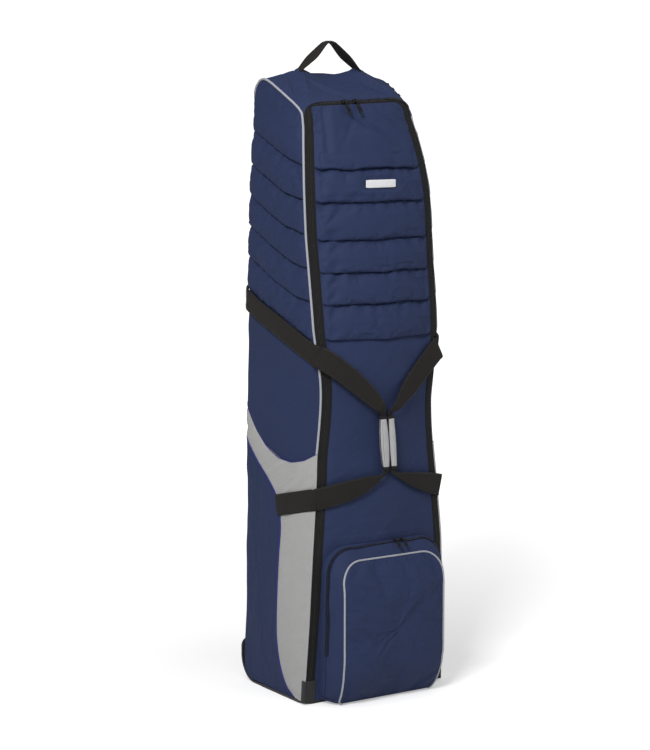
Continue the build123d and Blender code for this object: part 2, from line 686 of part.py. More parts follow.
def rear_wheel_chassis():
    chassis = chassis_shell()
    # narrow the tongue at both ends so that it clears the tray rim
    for side in (-1, 1):
        chassis = chassis - box((26.0, 30.0, 6.0), (side * 177.0, 31.0, TRAY_T + 3.2))
    # round the kick plate's top corners
    skin_y = CHASSIS_REAR - 2
    plate = box((2 * CHASSIS_HALF, 30.0, 140.0), (0, skin_y, CHASSIS_TOP - 70.0))
    chassis = chassis - (box((2 * CHASSIS_HALF + 4, 12.0, 40.0), (0, skin_y, CHASSIS_TOP))
                         - fillet(plate.edges().filter_by(Axis.Y), 18.0))
    limit = pod_limit()
    for side in (-1, 1):
        chassis = chassis + (along_x(Cylinder(POD_R, POD_W), side * WHEEL_X) & limit)
    for side in (-1, 1):
        chassis = chassis - along_x(Cylinder(CAVITY_R, CAVITY_W), side * WHEEL_X)
        chassis = chassis - along_x(Cylinder(AXLE_R + 0.05, POD_W + 2), side * WHEEL_X)
    # grooves across the outside of the kick plate
    for k in range(5):
        chassis = chassis - box((150.0, 2.4, 3.0), (0, CHASSIS_REAR - 0.2, 52.0 + 10.0 * k))
    for x, y in SCREW_PLACES:
        hole = Cylinder(SCREW_HOLE_R, 8.0)
        chassis = chassis - hole.moved(Location((x, y, TRAY_T + 2.0)))
    return chassis.solid()


def base_screw(x, y):
    """Round-headed screw with a cross slot, driven from above."""
    shank = Cylinder(2.5, 7.3, align=STANDING).moved(Location((x, y, 1.2)))
    head = Cylinder(4.8, 2.6, align=STANDING).moved(Location((x, y, TRAY_T + 4.05)))
    head = fillet(head.edges().group_by(Axis.Z)[-1], 1.1)
    slot_at = (x, y, TRAY_T + 6.6)
    slot = box((6.2, 1.2, 1.6), slot_at) + box((1.2, 6.2, 1.6), slot_at)
    return (shank + head - slot).solid()


def axle_and_nut(side):
    """Axle with a hex socket on the outer side, nut on the inner side of the pod."""
    outer_x = side * (WHEEL_X + POD_W / 2)
    inner_x = side * (WHEEL_X - POD_W / 2)

    def hexagon(x, radius, length):
        """Hexagonal prism from x towards the middle of the case."""
        plane = Plane((x, WHEEL_Y, WHEEL_Z), x_dir=(0, 1, 0), z_dir=(-side, 0, 0))
        return extrude(plane * RegularPolygon(radius, 6), length)

    shank = along_x(Cylinder(AXLE_R, POD_W + 9.0), (outer_x + inner_x) / 2 - side * 3.5)
    head = along_x(Cylinder(6.6, 3.8), outer_x + side * 1.95)
    axle = (shank + head - hexagon(outer_x + side * 3.9, 2.6, 2.0)).solid()
    nut = hexagon(inner_x - side * 0.1, 7.2, 6.0)
    nut = nut - along_x(Cylinder(AXLE_R + 0.02, 30.0), inner_x)
    return [axle, nut.solid()]


write("rear_wheel_chassis", rear_wheel_chassis())
write("base_screws", *[base_screw(x, y) for x, y in SCREW_PLACES])
write("wheel_axles", *axle_and_nut(-1), *axle_and_nut(1))

# --- wheels ------------------------------------------------------------------
HUB_R = 24.0
HUB_BORE_R = 9.2
HALF_W = WHEEL_W / 2
HUB_FACE = HALF_W - 2           # hub end faces, from the wheel centre
BEARING_SEAT = HUB_FACE - BEARING_W
BEARING_HALF = BEARING_W / 2

# Half sections: distance from the centre plane, radius
HUB_SECTION = [
    (BEARING_SEAT, HUB_BORE_R), (BEARING_SEAT, BEARING_R + 0.02),
    (HUB_FACE, BEARING_R + 0.02), (HUB_FACE, 15.0), (HALF_W - 4.5, 16.0),
    (HALF_W - 5.5, 20.5), (HALF_W - 3.0, 21.5), (HALF_W - 3.0, HUB_R),
]
TYRE_SECTION = [
    (HALF_W - 3.0, HUB_R + 0.02), (HALF_W - 1.0, 26.0), (HALF_W, 28.5),
    (HALF_W - 1.2, 31.2), (HALF_W - 4.0, 32.6), (HALF_W - 8.0, WHEEL_R),
]
BEARING_SECTION = [
    (BEARING_HALF, AXLE_R + 0.03), (BEARING_HALF, 6.2), (BEARING_HALF - 0.5, 6.6),
    (BEARING_HALF - 0.5, 9.2), (BEARING_HALF, 9.6), (BEARING_HALF, BEARING_R),
]


def turned(section):
    """Solid of revolution about X from a half section and its mirror image."""
    points = [(-x, radius) for x, radius in section] + section[::-1]
    with BuildPart() as builder:
        with BuildSketch(Plane.XY):
            with BuildLine():
                Polyline(*points, close=True)
            make_face()
        revolve(axis=Axis.X)
    return builder.part.solid()


hub = turned(HUB_SECTION)
for k in range(6):
    angle = math.radians(60 * k)
    at = (0, 18.2 * math.cos(angle), 18.2 * math.sin(angle))
    hub = hub - Cylinder(1.9, 40.0).moved(Location(at, (0, 90, 0)))
tyre = turned(TYRE_SECTION)
bearing = turned(BEARING_SECTION)
bearing_x = HUB_FACE - BEARING_HALF + 0.02

for side_name, x in (("left", -WHEEL_X), ("right", WHEEL_X)):
    wheel_at = Location((x, WHEEL_Y, WHEEL_Z))
    write(f"wheel_hub_{side_name}", hub.moved(wheel_at))
    write(f"wheel_tyre_{side_name}", tyre.moved(wheel_at))
    # the two bearings' offsets differ by the sign of the small clearance
    write(f"wheel_bearings_{side_name}",
          *[bearing.moved(Location((x + offset, WHEEL_Y, WHEEL_Z)))
            for offset in (-(bearing_x), bearing_x)])


# --- webbing sewn on the sides -----------------------------------------------
def side_ribbon(path, half_width, out, count):
    """Ribbon on the left side along (depth, z) points; its width runs along z."""
    points = resample(path, count)
    return slab(*[[[side_point(depth, z + edge, distance) for edge in (-half_width, half_width)]
                   for depth, z in points] for distance in (out + WEB_T, out)])


write_pair("side_straps",
           side_ribbon([(0.0, 740.5), (0.46, 796.0), (0.96, 846.0)], WEB_W / 2 + 1.0, 3.0, 8),
           side_ribbon([(0.0, 441.0), (0.46, 411.0)], WEB_W / 2, 4.4, 5))

# --- carry straps and grips --------------------------------------------------
STRAP_EDGE_OUT = 6.0            # strap ends, outside the front edges
STRAP_TOP_Z = 738.0             # strap ends at the front edge
STRAP_LOW_Z = 441.0
GRIP_X = 10.0                   # grip centre, each side of the middle
GRIP_Y = -66.0 - SHIFT
GRIP_TOP, GRIP_BOTTOM = 607.0, 497.0
STRAP_GRIP_Y = GRIP_Y + WEB_T / 2       # back face of the strap in the grip

# Strap stations: share of the way from front edge to grip, width direction x, z
UPPER_STATIONS = [
    (0.0, 0.42, 1.0), (0.16, 0.42, 1.0), (0.35, 0.42, 1.0), (0.55, 0.42, 1.0),
    (0.75, 0.42, 1.0), (0.9, 0.75, 1.0), (1.0, 0.95, 0.55),
]
LOWER_STATIONS = [
    (1.0, 0.9, -0.7), (0.88, 0.9, -0.7), (0.7, 0.2, -1.0), (0.5, 0.2, -1.0),
    (0.3, 0.2, -1.0), (0.14, 0.2, -1.0), (0.0, 0.2, -1.0),
]


def strap_run(stations, edge_z, grip_z, power):
    """Frames (centre, width direction, half-width) between the front edge and the grip."""
    edge_x = -(front_half(edge_z) + STRAP_EDGE_OUT)
    frames = []
    for share, width_x, width_z in stations:
        x = edge_x + (-GRIP_X - edge_x) * share
        z = edge_z + (grip_z - edge_z) * share ** power
        if share > 0:
            surface = front_y(x, z)
            y = (surface - 5.0) * (1 - share) + STRAP_GRIP_Y * share
            y = min(y, surface - 2.5)
        else:
            y = front_edge_y(edge_z) - 4.8
        half = (WEB_W / 2) * (1 - share) + 11.0 * share
        frames.append(((x, y, z), (width_x, 0, width_z), half))
    return frames


def carry_strap():
    """One webbing from the upper end through the grip to the lower end."""
    frames = strap_run(UPPER_STATIONS, STRAP_TOP_Z, GRIP_TOP + 22.0, 1.1)
    frames += [((-GRIP_X, STRAP_GRIP_Y, z), (1, 0, 0), 6.4)
               for z in (GRIP_TOP + 3.0, GRIP_BOTTOM - 3.0)]
    frames += strap_run(LOWER_STATIONS, STRAP_LOW_Z, GRIP_BOTTOM - 16.0, 1.0)
    grid = []
    for centre, direction, half in frames:
        centre, reach = Vector(*centre), Vector(*direction).normalized() * half
        grid.append([(p.X, p.Y - WEB_T, p.Z) for p in (centre - reach, centre + reach)])
    return thicken(grid, WEB_T)


def grip():
    """Rounded sleeve round the strap."""
    outside = box((17.0, 15.0, GRIP_TOP - GRIP_BOTTOM), (-GRIP_X, GRIP_Y, GRIP_BOTTOM), STANDING)
    outside = fillet(outside.edges().filter_by(Axis.Z), 6.0)
    slot = box((13.6, WEB_T + 0.8, 200.0), (-GRIP_X, GRIP_Y, (GRIP_TOP + GRIP_BOTTOM) / 2))
    return (outside - slot).solid()


write_pair("carry_strap", carry_strap())
write_pair("grip", grip())

# --- top grab handle ---------------------------------------------------------
HANDLE_X, HANDLE_Y = 70.0, 42.0         # half span, centre y
HANDLE_Z, HANDLE_TOP = 1331.5, 1389.0   # foot and crest of the outer face
HANDLE_HALF_W = 12.5
HANDLE_T = 5.0

# Left half of the arch: x, z, share of the full width
ARCH_LEFT = [
    (-HANDLE_X, HANDLE_Z, 0.32), (-60.0, HANDLE_Z + 8, 0.8), (-36.0, HANDLE_Z + 28.0, 1.0),
    (-17.0, HANDLE_Z + 45.0, 1.0), (-7.0, HANDLE_TOP - 3.0, 1.0),
]
ARCH = ARCH_LEFT + [(0.0, HANDLE_TOP, 1.0)] + [(-x, z, share) for x, z, share in ARCH_LEFT[::-1]]


def arch_grid(offset):
    """The arch moved by offset along its upward normal."""
    grid = []
    for i, (x, z, share) in enumerate(ARCH):
        before, after = neighbours(ARCH, i)
        step_x, step_z = after[0] - before[0], after[1] - before[1]
        length = math.hypot(step_x, step_z)
        half = HANDLE_HALF_W * share
        grid.append([(x - step_z / length * offset, HANDLE_Y + reach, z + step_x / length * offset)
                     for reach in (-half, half)])
    return grid


write("top_handle", slab(arch_grid(0.0), arch_grid(-HANDLE_T)))
write("top_handle_tabs", *[
    Box(12.0, 2 * HANDLE_HALF_W, 1.8).moved(
        Location((side * (HANDLE_X + 6.8), HANDLE_Y, 1323.2), (0, side * 14.0, 0))).solid()
    for side in (-1, 1)])

# --- zip sliders and pulls ---------------------------------------------------
MAIN_SLIDER_INSET = 18.65       # from the front outline
PIN_Z = -1.0                    # pin height in the slider's own frame
PULL_HOLE_R = 1.08


def pin_y(thick):
    """Pin place in the slider's own frame, in front of its body."""
    return -thick - 2.6


def slider(width, length, thick):
    """Slider with its length along X, its back at y = 0 and two ears with a pin in front."""
    body = Box(length, thick, width, align=(Align.CENTER, Align.MAX, Align.CENTER))
    body = fillet(body.edges().filter_by(Axis.Y), 2.2)
    for x in (-3.2, 3.2):
        body = body + box((1.6, 4.6, 4.0), (x, -thick + 0.2, PIN_Z),
                          (Align.CENTER, Align.MAX, Align.CENTER))
    pin = Cylinder(1.0, 6.4).moved(Location((0, pin_y(thick), PIN_Z), (0, 90, 0)))
    return (body + pin).solid()


def pull(length, width):
    """Pull with its eye at the origin and its tab towards -Z."""
    hanging = (Align.CENTER, Align.CENTER, Align.MAX)
    eye = (Cylinder(2.4, 4.2) - Cylinder(PULL_HOLE_R, 8.0)).rotate(Axis.Y, 90)
    neck = box((4.2, 1.6, 7.0), (0, -0.6, -1.6), hanging)
    tab = box((width, 1.8, length - 8.0), (0, -0.7, -8.0), hanging)
    tab = fillet(tab.edges().filter_by(Axis.Y), 3.0)
    window = box((width - 4.4, 6.0, 9.0), (0, 0, -length + 8.5))
    whole = eye + neck + tab - window
    whole = whole - Cylinder(PULL_HOLE_R, 8.0).rotate(Axis.Y, 90)
    return whole.solid()


def write_slider(zip_name, side_name, at, size, tilt, pull_size, pull_tilt):
    """Slider tilted about X at a place on its zip, with a pull on its pin."""
    angle = math.radians(tilt)
    y = pin_y(size["thick"])
    pin_at = (at[0],
              at[1] + y * math.cos(angle) - PIN_Z * math.sin(angle),
              at[2] + y * math.sin(angle) + PIN_Z * math.cos(angle))
    write(f"{zip_name}_slider_{side_name}", slider(**size).moved(Location(at, (tilt, 0, 0))))
    write(f"{zip_name}_pull_{side_name}",
          pull(**pull_size).moved(Location(pin_at, (pull_tilt, 0, 0))))


for side_name, x in (("left", -37.0), ("right", -9.0)):
    z = top_outline_z(x) - MAIN_SLIDER_INSET
    write_slider("main", side_name, (x, front_y(x, z) - 2.6, z + 0.6),
                 size=dict(width=9.0, length=13.0, thick=3.0), tilt=-24.0,
                 pull_size=dict(length=32.0, width=8.0), pull_tilt=-34.0)

coil_mid, coil_next = [gusset_point(i, 0.37) for i in (LOOP_TOP, LOOP_TOP + 1)]
for side_name, x in (("left", 20.0), ("right", 38.0)):
    share = min(1.0, (x - coil_mid[0]) / (coil_next[0] - coil_mid[0]))
    y = coil_mid[1] + (coil_next[1] - coil_mid[1]) * share
    z = coil_mid[2] + (coil_next[2] - coil_mid[2]) * share
    write_slider("pocket", side_name, (x, y - 1.4, z + 2.9),
                 size=dict(width=8.0, length=11.0, thick=2.6), tilt=-62.0,
                 pull_size=dict(length=24.0, width=7.0), pull_tilt=-52.0)

# --- inner strap and buckle --------------------------------------------------
# The strap lies flat across the inside of the back; the buckle is in front of it.
BUCKLE_Z = 760.0
INNER_STRAP_T = 2.0
INNER_STRAP_Y = REAR - PANEL_T - GAP - BOARD_T - 1.0    # back face of the strap
BUCKLE_Y = INNER_STRAP_Y - 5.6

for side_name, start_x, end_x in (("left", -150.0, -24.0), ("right", 27.0, 150.0)):
    write(f"inner_strap_{side_name}",
          box((end_x - start_x, INNER_STRAP_T, WEB_W), (start_x, INNER_STRAP_Y, BUCKLE_Z),
              (Align.MIN, Align.MAX, Align.CENTER)).solid())


def buckle_box(size, start_x, rise=0.0):
    """Box on the buckle's axis that starts at start_x and runs to the right."""
    return box(size, (start_x, BUCKLE_Y, BUCKLE_Z + rise), FROM_LEFT)


def buckle_socket():
    """Hollow housing, open on the right, with a strap slot on the left."""
    socket = buckle_box((40.0, 10.0, 50.0), -22.0)
    socket = fillet(socket.edges().filter_by(Axis.Y), 5.0)
    socket = socket - buckle_box((34.0, 6.2, 43.4), -12.0)
    # windows for the two latch arms
    for side in (-1, 1):
        socket = socket - buckle_box((13.0, 6.2, 12.0), -6.0, side * 24.0)
    socket = socket - box((3.4, 20.0, WEB_W + 1.0), (-17.5, BUCKLE_Y, BUCKLE_Z))
    return socket.solid()


def buckle_plug():
    """Cross bar with a middle tongue and two latch arms that reach into the socket."""
    plug = buckle_box((6.0, 9.0, 48.0), 18.6)
    plug = fillet(plug.edges().filter_by(Axis.Y), 2.4)
    for side, height in ((-1, 6.0), (0, 5.0), (1, 6.0)):
        plug = plug + buckle_box((27.0, 4.6, height), -8.0, side * 16.4)
    for side in (-1, 1):
        plug = plug + buckle_box((9.0, 4.6, 3.4), -3.6, side * 19.6)
    return plug.solid()


write("buckle_socket", buckle_socket())
write("buckle_plug", buckle_plug())
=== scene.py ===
"""Tall soft-sided travel case with a zipped front flap, a shoe pocket and webbing handles.

It stands upright on z = 0. The front faces -y, the left side is at -x and x = 0 is the
middle. Shapes are worked out in millimetres and turned into metres when meshes are made.
"""
import bpy
import json
import math
import numpy as np
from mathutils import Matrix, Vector


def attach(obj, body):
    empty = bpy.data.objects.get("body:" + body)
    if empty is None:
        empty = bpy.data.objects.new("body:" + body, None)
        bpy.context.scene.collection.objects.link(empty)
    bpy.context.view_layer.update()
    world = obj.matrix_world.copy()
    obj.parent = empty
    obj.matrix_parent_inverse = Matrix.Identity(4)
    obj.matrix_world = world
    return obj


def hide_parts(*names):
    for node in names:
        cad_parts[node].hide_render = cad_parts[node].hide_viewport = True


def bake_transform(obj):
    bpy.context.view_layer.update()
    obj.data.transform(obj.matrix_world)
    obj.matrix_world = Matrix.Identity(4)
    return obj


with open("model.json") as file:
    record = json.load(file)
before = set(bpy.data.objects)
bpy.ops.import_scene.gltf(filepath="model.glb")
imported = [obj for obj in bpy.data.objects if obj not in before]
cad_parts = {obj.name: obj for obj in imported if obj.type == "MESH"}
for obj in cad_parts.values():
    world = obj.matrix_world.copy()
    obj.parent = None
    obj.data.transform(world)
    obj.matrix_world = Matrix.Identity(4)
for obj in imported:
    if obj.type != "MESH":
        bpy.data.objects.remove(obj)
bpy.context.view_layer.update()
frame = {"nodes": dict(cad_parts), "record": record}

scene = bpy.context.scene
MM = 0.001

# ---------------------------------------------------------------- body outline (mm)
Y_SHIFT = 117.0                     # taken off the measured y of the front
REAR_Y = 119.0
FOOT_RADIUS, REAR_RADIUS = 9.0, 22.0    # rear corner at the bottom and higher up
SIDE_Z0 = 7.0                       # lower edge of the cloth
FOLD_Z = 372.0                      # line the front flap folds down on
SIDE_LENGTH = 235.0                 # side from front to rear, used to scale creases
SIDE_SCALE = np.array([240.0, 1.0])     # (run, z) to roughly even lengths
SIDES = ((-1, "left"), (1, "right"))

# z, half width at the front, y of the front edge before the shift, half width at the rear
PROFILE = np.array([
    (0, 177.5, -16.0, 175.0), (60, 176.0, -19.0, 173.9), (120, 174.1, -23.3, 173.3),
    (180, 171.4, -26.3, 173.1), (230, 169.7, -28.0, 173.0), (280, 167.9, -29.6, 172.7),
    (330, 165.7, -30.7, 172.2), (380, 161.7, -29.7, 171.7), (430, 157.4, -28.1, 171.1),
    (480, 153.4, -25.9, 170.4), (530, 149.9, -22.5, 169.7), (580, 144.8, -23.7, 168.9),
    (630, 141.7, -25.8, 168.0), (680, 143.8, -30.6, 167.4), (730, 150.3, -29.4, 167.1),
    (780, 157.0, -24.9, 166.2), (830, 158.6, -20.0, 164.9), (880, 159.0, -13.2, 163.4),
    (930, 159.3, -6.1, 161.8), (980, 160.5, -0.3, 160.1), (1030, 160.5, 3.8, 158.4),
    (1080, 159.2, 9.0, 156.4), (1130, 154.4, 18.1, 154.0), (1180, 147.1, 30.6, 151.4),
    (1230, 137.0, 47.1, 145.5)])
# z, forward swell of the front at x = 0
BULGE = np.array([(0, 8), (100, 15), (345, 25), (600, 28), (900, 30), (1100, 26), (1200, 16),
                  (1280, 8)], float)
# Lines on a side: run (0 at the front edge, 1 at the rear), z
TOP_CURVE = np.array([
    (0.0, 1227.0), (0.010, 1234.0), (0.03, 1240.8), (0.075, 1248.6), (0.153, 1258.6),
    (0.345, 1279.0), (0.539, 1297.5), (0.64, 1305.0), (0.716, 1307.9), (0.80, 1304.5),
    (0.876, 1293.2), (0.93, 1278.5), (0.958, 1267.8), (1.0, 1236.0)])
TUCKS = [np.array(line) for line in (
    [(0, 1132.0), (0.069, 1137.5), (0.26, 1149.0), (1.0, 1207.0)],
    [(0, 1061.0), (0.056, 1066.2), (0.29, 1076.3), (1.0, 1139.0)],
    [(0, 991.0), (0.05, 995.6), (0.301, 1007.7), (1.0, 1074.5)],
    [(0, 921.0), (0.038, 926.4), (0.224, 935.8), (1.0, 1006.0)],
    [(0, 853.0), (0.031, 857.5), (0.21, 863.3), (1.0, 942.0)],
    [(0.0, 770.0), (0.455, 819.0), (1.0, 869.0)])]
BAND_TOP = np.array([
    (0.0, 535.0), (0.14, 517.2), (0.303, 508.1), (0.472, 511.7), (0.644, 530.4),
    (0.8, 561.5), (0.911, 594.9), (1.0, 626.0)])
BAND_LOW = np.array([
    (1.0, 551.0), (0.904, 524.6), (0.77, 492.7), (0.616, 461.9), (0.503, 433.5),
    (0.456, 409.2), (0.428, 384.1), (0.42, 351.7), (0.433, 301.4), (0.442, 229.3),
    (0.441, 162.2), (0.42, 112.8), (0.371, 65.1), (0.276, 26.8), (0.16, 9.0)])


def clip01(value):
    return np.clip(value, 0, 1)


def smoothstep(value):
    return value * value * (3 - 2 * value)


def bell(offset, width, power=2):
    return np.exp(-(offset / width) ** power)


def blur(values, width, **padding):
    kernel = np.hanning(width + 2)[1:-1]
    kernel /= kernel.sum()
    return np.convolve(np.pad(values, width // 2, **padding), kernel, mode="valid")


def lookup(x, table):
    return np.interp(x, table[:, 0], table[:, 1])


def smooth_line(table):
    x = np.linspace(0, 1, 81)
    return np.stack([x, blur(lookup(x, table), 7, mode="reflect", reflect_type="odd")], -1)


LEVELS = np.arange(-60.0, 1400.0, 5.0)


def profile_column(column, slope=0.0):
    """One column of PROFILE, blurred over LEVELS; slope carries it on above z = 1230."""
    values = np.interp(LEVELS, PROFILE[:, 0], PROFILE[:, column])
    return blur(values + np.maximum(0, LEVELS - 1230.0) * slope, 9, mode="edge")


HALF_FRONT, HALF_REAR = profile_column(1), profile_column(3)
EDGE_Y, PANEL_Y = profile_column(2), profile_column(2, slope=0.33)
SWELL = lookup(LEVELS, BULGE)


def half_front(z):
    return np.interp(z, LEVELS, HALF_FRONT)


def half_rear(z):
    return np.interp(z, LEVELS, HALF_REAR)


def edge_y(z):
    """y of the front edge of the sides."""
    return np.interp(z, LEVELS, EDGE_Y) - Y_SHIFT


def rear_radius(z):
    return FOOT_RADIUS + (REAR_RADIUS - FOOT_RADIUS) * smoothstep(clip01((z - 80.0) / 140.0))


def front(x, z, out=0.0):
    """Points on the front, moved forward by out."""
    x, z = np.broadcast_arrays(np.asarray(x, float), np.asarray(z, float))
    span = clip01(np.abs(x) / half_front(z))
    panel = np.interp(z, LEVELS, PANEL_Y) - Y_SHIFT
    y = panel - np.interp(z, LEVELS, SWELL) * (1 - span ** 2) - out
    return np.stack([x, y, z], -1)


def side(run, z, out=0.0, sign=-1):
    """Points on a side and round its rear corner, moved outward by out."""
    run, z = np.broadcast_arrays(np.asarray(run, float), np.asarray(z, float))
    y = edge_y(z) * (1 - run) + REAR_Y * run
    x = half_front(z) * (1 - run) + half_rear(z) * run
    x = x + 24.0 * run * (1 - run) * clip01(z / 120.0)
    radius = rear_radius(z)
    turn = clip01((y - (REAR_Y - radius)) / radius)
    cosine = np.sqrt(clip01(1 - turn * turn))
    x = x - radius * (1 - cosine) + out * cosine
    y = y + out * turn * 0.9
    return np.stack([sign * x, y, z], -1)


def side_steps(count):
    """Runs over a side, closer together round the rear corner."""
    run = np.linspace(0, 1, count)
    corner = 0.905 + 0.095 * np.sin((run - 0.8) / 0.2 * np.pi / 2)
    return np.where(run < 0.8, run / 0.8 * 0.905, corner)


# ---------------------------------------------------------------- smooth seeded noise
LATTICE = np.random.default_rng(7).uniform(-1, 1, (64, 64, 16))


def noise(x, y, seed=0):
    """Value noise, period 64, between -1 and 1."""
    x, y = np.asarray(x, float), np.asarray(y, float)
    col, row = np.floor(x).astype(int), np.floor(y).astype(int)
    right, up = smoothstep(x - col), smoothstep(y - row)

    def corner(i, j):
        return LATTICE[(col + i) % 64, (row + j) % 64, seed % 16]

    low = corner(0, 0) * (1 - right) + corner(1, 0) * right
    high = corner(0, 1) * (1 - right) + corner(1, 1) * right
    return low * (1 - up) + high * up


def layered_noise(x, y, seed=0):
    """Three octaves of noise."""
    return sum(0.5 ** i * noise(x * 2 ** i, y * 2 ** i, seed + i * 3) for i in range(3))


def ridge(value):
    return (1 - np.abs(value)) ** 3


def wrinkle(length, across, seed, stretch=3.0):
    """Soft ridged creases; a larger stretch draws them out along the first coordinate."""
    value = noise(length / (60 * stretch / 3), across / 22.0, seed)
    value = value + 0.5 * noise(length / 35.0, across / 11.0, seed + 5)
    return ridge(value) - 0.35


# ---------------------------------------------------------------- paths
def unit(vector):
    return vector / np.maximum(np.linalg.norm(vector, axis=-1, keepdims=True), 1e-9)


def square_to(vector, axis):
    """Unit vectors along the part of vector square to the unit axis."""
    return unit(vector - axis * (vector * axis).sum(-1, keepdims=True))


def arc_length(path):
    steps = np.linalg.norm(np.diff(path, axis=0), axis=1)
    return np.concatenate([[0], np.cumsum(steps)])


def sample(path, distance, at):
    return np.stack([np.interp(at, distance, column) for column in path.T], -1)


def resample(path, count):
    """Evenly spaced points; columns past the third are carried along."""
    path = np.asarray(path, float)
    distance = arc_length(path[:, :3])
    return sample(path, distance, np.linspace(0, distance[-1], count))


def spline(points, count):
    """Catmull-Rom through the points, resampled evenly."""
    points = np.asarray(points, float)
    knots = np.vstack([2 * points[0] - points[1], points, 2 * points[-1] - points[-2]])
    t = np.linspace(0, 1, 24, endpoint=False)[:, None]
    out = []
    for i in range(1, len(knots) - 2):
        a, b, c, d = knots[i - 1:i + 3]
        out.append(0.5 * ((2 * b) + (c - a) * t + (2 * a - 5 * b + 4 * c - d) * t ** 2
                          + (3 * b - a - 3 * c + d) * t ** 3))
    return resample(np.vstack(out + [points[-1:]]), count)


def tangents(path, passes=0):
    """Unit directions along the path, smoothed the given number of times."""
    along = unit(np.gradient(path, axis=0))
    for _ in range(passes):
        along[1:-1] = unit(along[:-2] + 2 * along[1:-1] + along[2:])
    return along


def steady(vectors):
    """Flip vectors in place wherever they point against the one before."""
    for i in range(1, len(vectors)):
        if vectors[i] @ vectors[i - 1] < 0:
            vectors[i] *= -1
    return vectors


# ---------------------------------------------------------------- mesh helpers
def link(obj):
    scene.collection.objects.link(obj)
    return obj


def mesh_obj(name, verts, faces, material, uv=None):
    """Smooth-shaded mesh from points and UV in mm."""
    mesh = bpy.data.meshes.new(name)
    verts = np.asarray(verts, float).reshape(-1, 3) * MM
    mesh.from_pydata(verts.tolist(), [], faces)
    if uv is not None:
        layer = mesh.uv_layers.new(name="fab")
        index = np.zeros(len(mesh.loops), int)
        mesh.loops.foreach_get("vertex_index", index)
        uv = np.asarray(uv, float).reshape(-1, 2)[index] * MM
        layer.data.foreach_set("uv", uv.astype(np.float32).ravel())
    mesh.polygons.foreach_set("use_smooth", np.ones(len(mesh.polygons), bool))
    mesh.materials.append(MATERIALS[material])
    mesh.update()
    return link(bpy.data.objects.new(name, mesh))


def grid_faces(rows, cols, closed=False, flip=False):
    index = np.arange(rows * cols).reshape(rows, cols)
    if closed:
        index = np.concatenate([index, index[:, :1]], 1)
    corners = [index[:-1, :-1], index[:-1, 1:], index[1:, 1:], index[1:, :-1]]
    faces = np.stack(corners, -1).reshape(-1, 4)
    return (faces[:, ::-1] if flip else faces).tolist()


def grid_uv(grid):
    """Arc lengths along rows and columns, averaged so threads stay straight."""
    down = np.linalg.norm(np.diff(grid, axis=0), axis=-1).mean(1)
    across = np.linalg.norm(np.diff(grid, axis=1), axis=-1)
    down = np.concatenate([[0], np.cumsum(down)])[:, None] + np.zeros(grid.shape[:2])
    across = np.concatenate([np.zeros((grid.shape[0], 1)), np.cumsum(across, 1)], 1)
    return np.stack([across - across[:, -1:] / 2, down], -1)


def thicken(obj, thick):
    solid = obj.modifiers.new("thick", "SOLIDIFY")
    solid.thickness = thick * MM
    solid.offset = -1.0
    return solid


def sheet(name, grid, material, thick, flip=False, closed=False, lined=False):
    """Thick sheet over a grid of points, with sharp open rims and an optional lining."""
    faces = grid_faces(*grid.shape[:2], closed, flip)
    obj = mesh_obj(name, grid, faces, material, grid_uv(grid))
    mesh = obj.data
    edge_index = np.zeros(len(mesh.loops), int)
    mesh.loops.foreach_get("edge_index", edge_index)
    rim = np.bincount(edge_index, minlength=len(mesh.edges)) == 1
    mesh.edges.foreach_set("use_edge_sharp", rim)
    solid = thicken(obj, thick)
    if lined:
        mesh.materials.append(MATERIALS["lining"])
        solid.material_offset = 1
    return obj


def edge_pins(grid, first, last):
    """Pinned points: the first and last rows, and three columns down each edge."""
    pins = np.zeros(grid.shape[:2], bool)
    pins[:first] = pins[-last:] = True
    pins[:, :3] = pins[:, -3:] = True
    return pins


def inflate(grid, pins, pressure, slack, bend, cap, closed=False, flip=False, mask=1.0):
    """Cloth simulation: cut a little large, held at the pins and filled out from inside.

    Moves are limited softly to cap (mm) and scaled by mask.
    """
    frames = 20
    rows, cols = grid.shape[:2]
    mesh = bpy.data.meshes.new("sim")
    points = (grid.reshape(-1, 3) * MM).tolist()
    mesh.from_pydata(points, [], grid_faces(rows, cols, closed, flip))
    obj = link(bpy.data.objects.new("sim", mesh))
    group = obj.vertex_groups.new(name="pin")
    group.add([int(i) for i in np.where(pins.ravel())[0]], 1.0, "REPLACE")
    cloth = obj.modifiers.new("cloth", "CLOTH")
    settings = cloth.settings
    settings.quality = 4
    settings.mass = 0.3
    settings.tension_stiffness = settings.compression_stiffness = 12.0
    settings.shear_stiffness = 6.0
    settings.bending_stiffness = bend
    settings.air_damping = 1.0
    settings.use_pressure = True
    settings.uniform_pressure_force = pressure
    settings.vertex_group_mass = "pin"
    settings.shrink_min = settings.shrink_max = -slack
    settings.effector_weights.gravity = 0.0
    cloth.collision_settings.use_collision = False
    cloth.collision_settings.use_self_collision = False
    cloth.point_cache.frame_start, cloth.point_cache.frame_end = 1, frames
    for step in range(1, frames + 1):
        scene.frame_set(step)
    settled = obj.evaluated_get(bpy.context.evaluated_depsgraph_get())
    coords = np.zeros(rows * cols * 3, np.float32)
    settled.data.vertices.foreach_get("co", coords)
    scene.frame_set(1)
    bpy.data.objects.remove(obj)
    bpy.data.meshes.remove(mesh)
    move = coords.reshape(rows, cols, 3).astype(float) / MM - grid
    size = np.linalg.norm(move, axis=-1, keepdims=True)
    move = move * (cap * np.tanh(size / cap) / np.maximum(size, 1e-6))
    move[~np.isfinite(move)] = 0.0
    return grid + move * np.expand_dims(mask, -1)


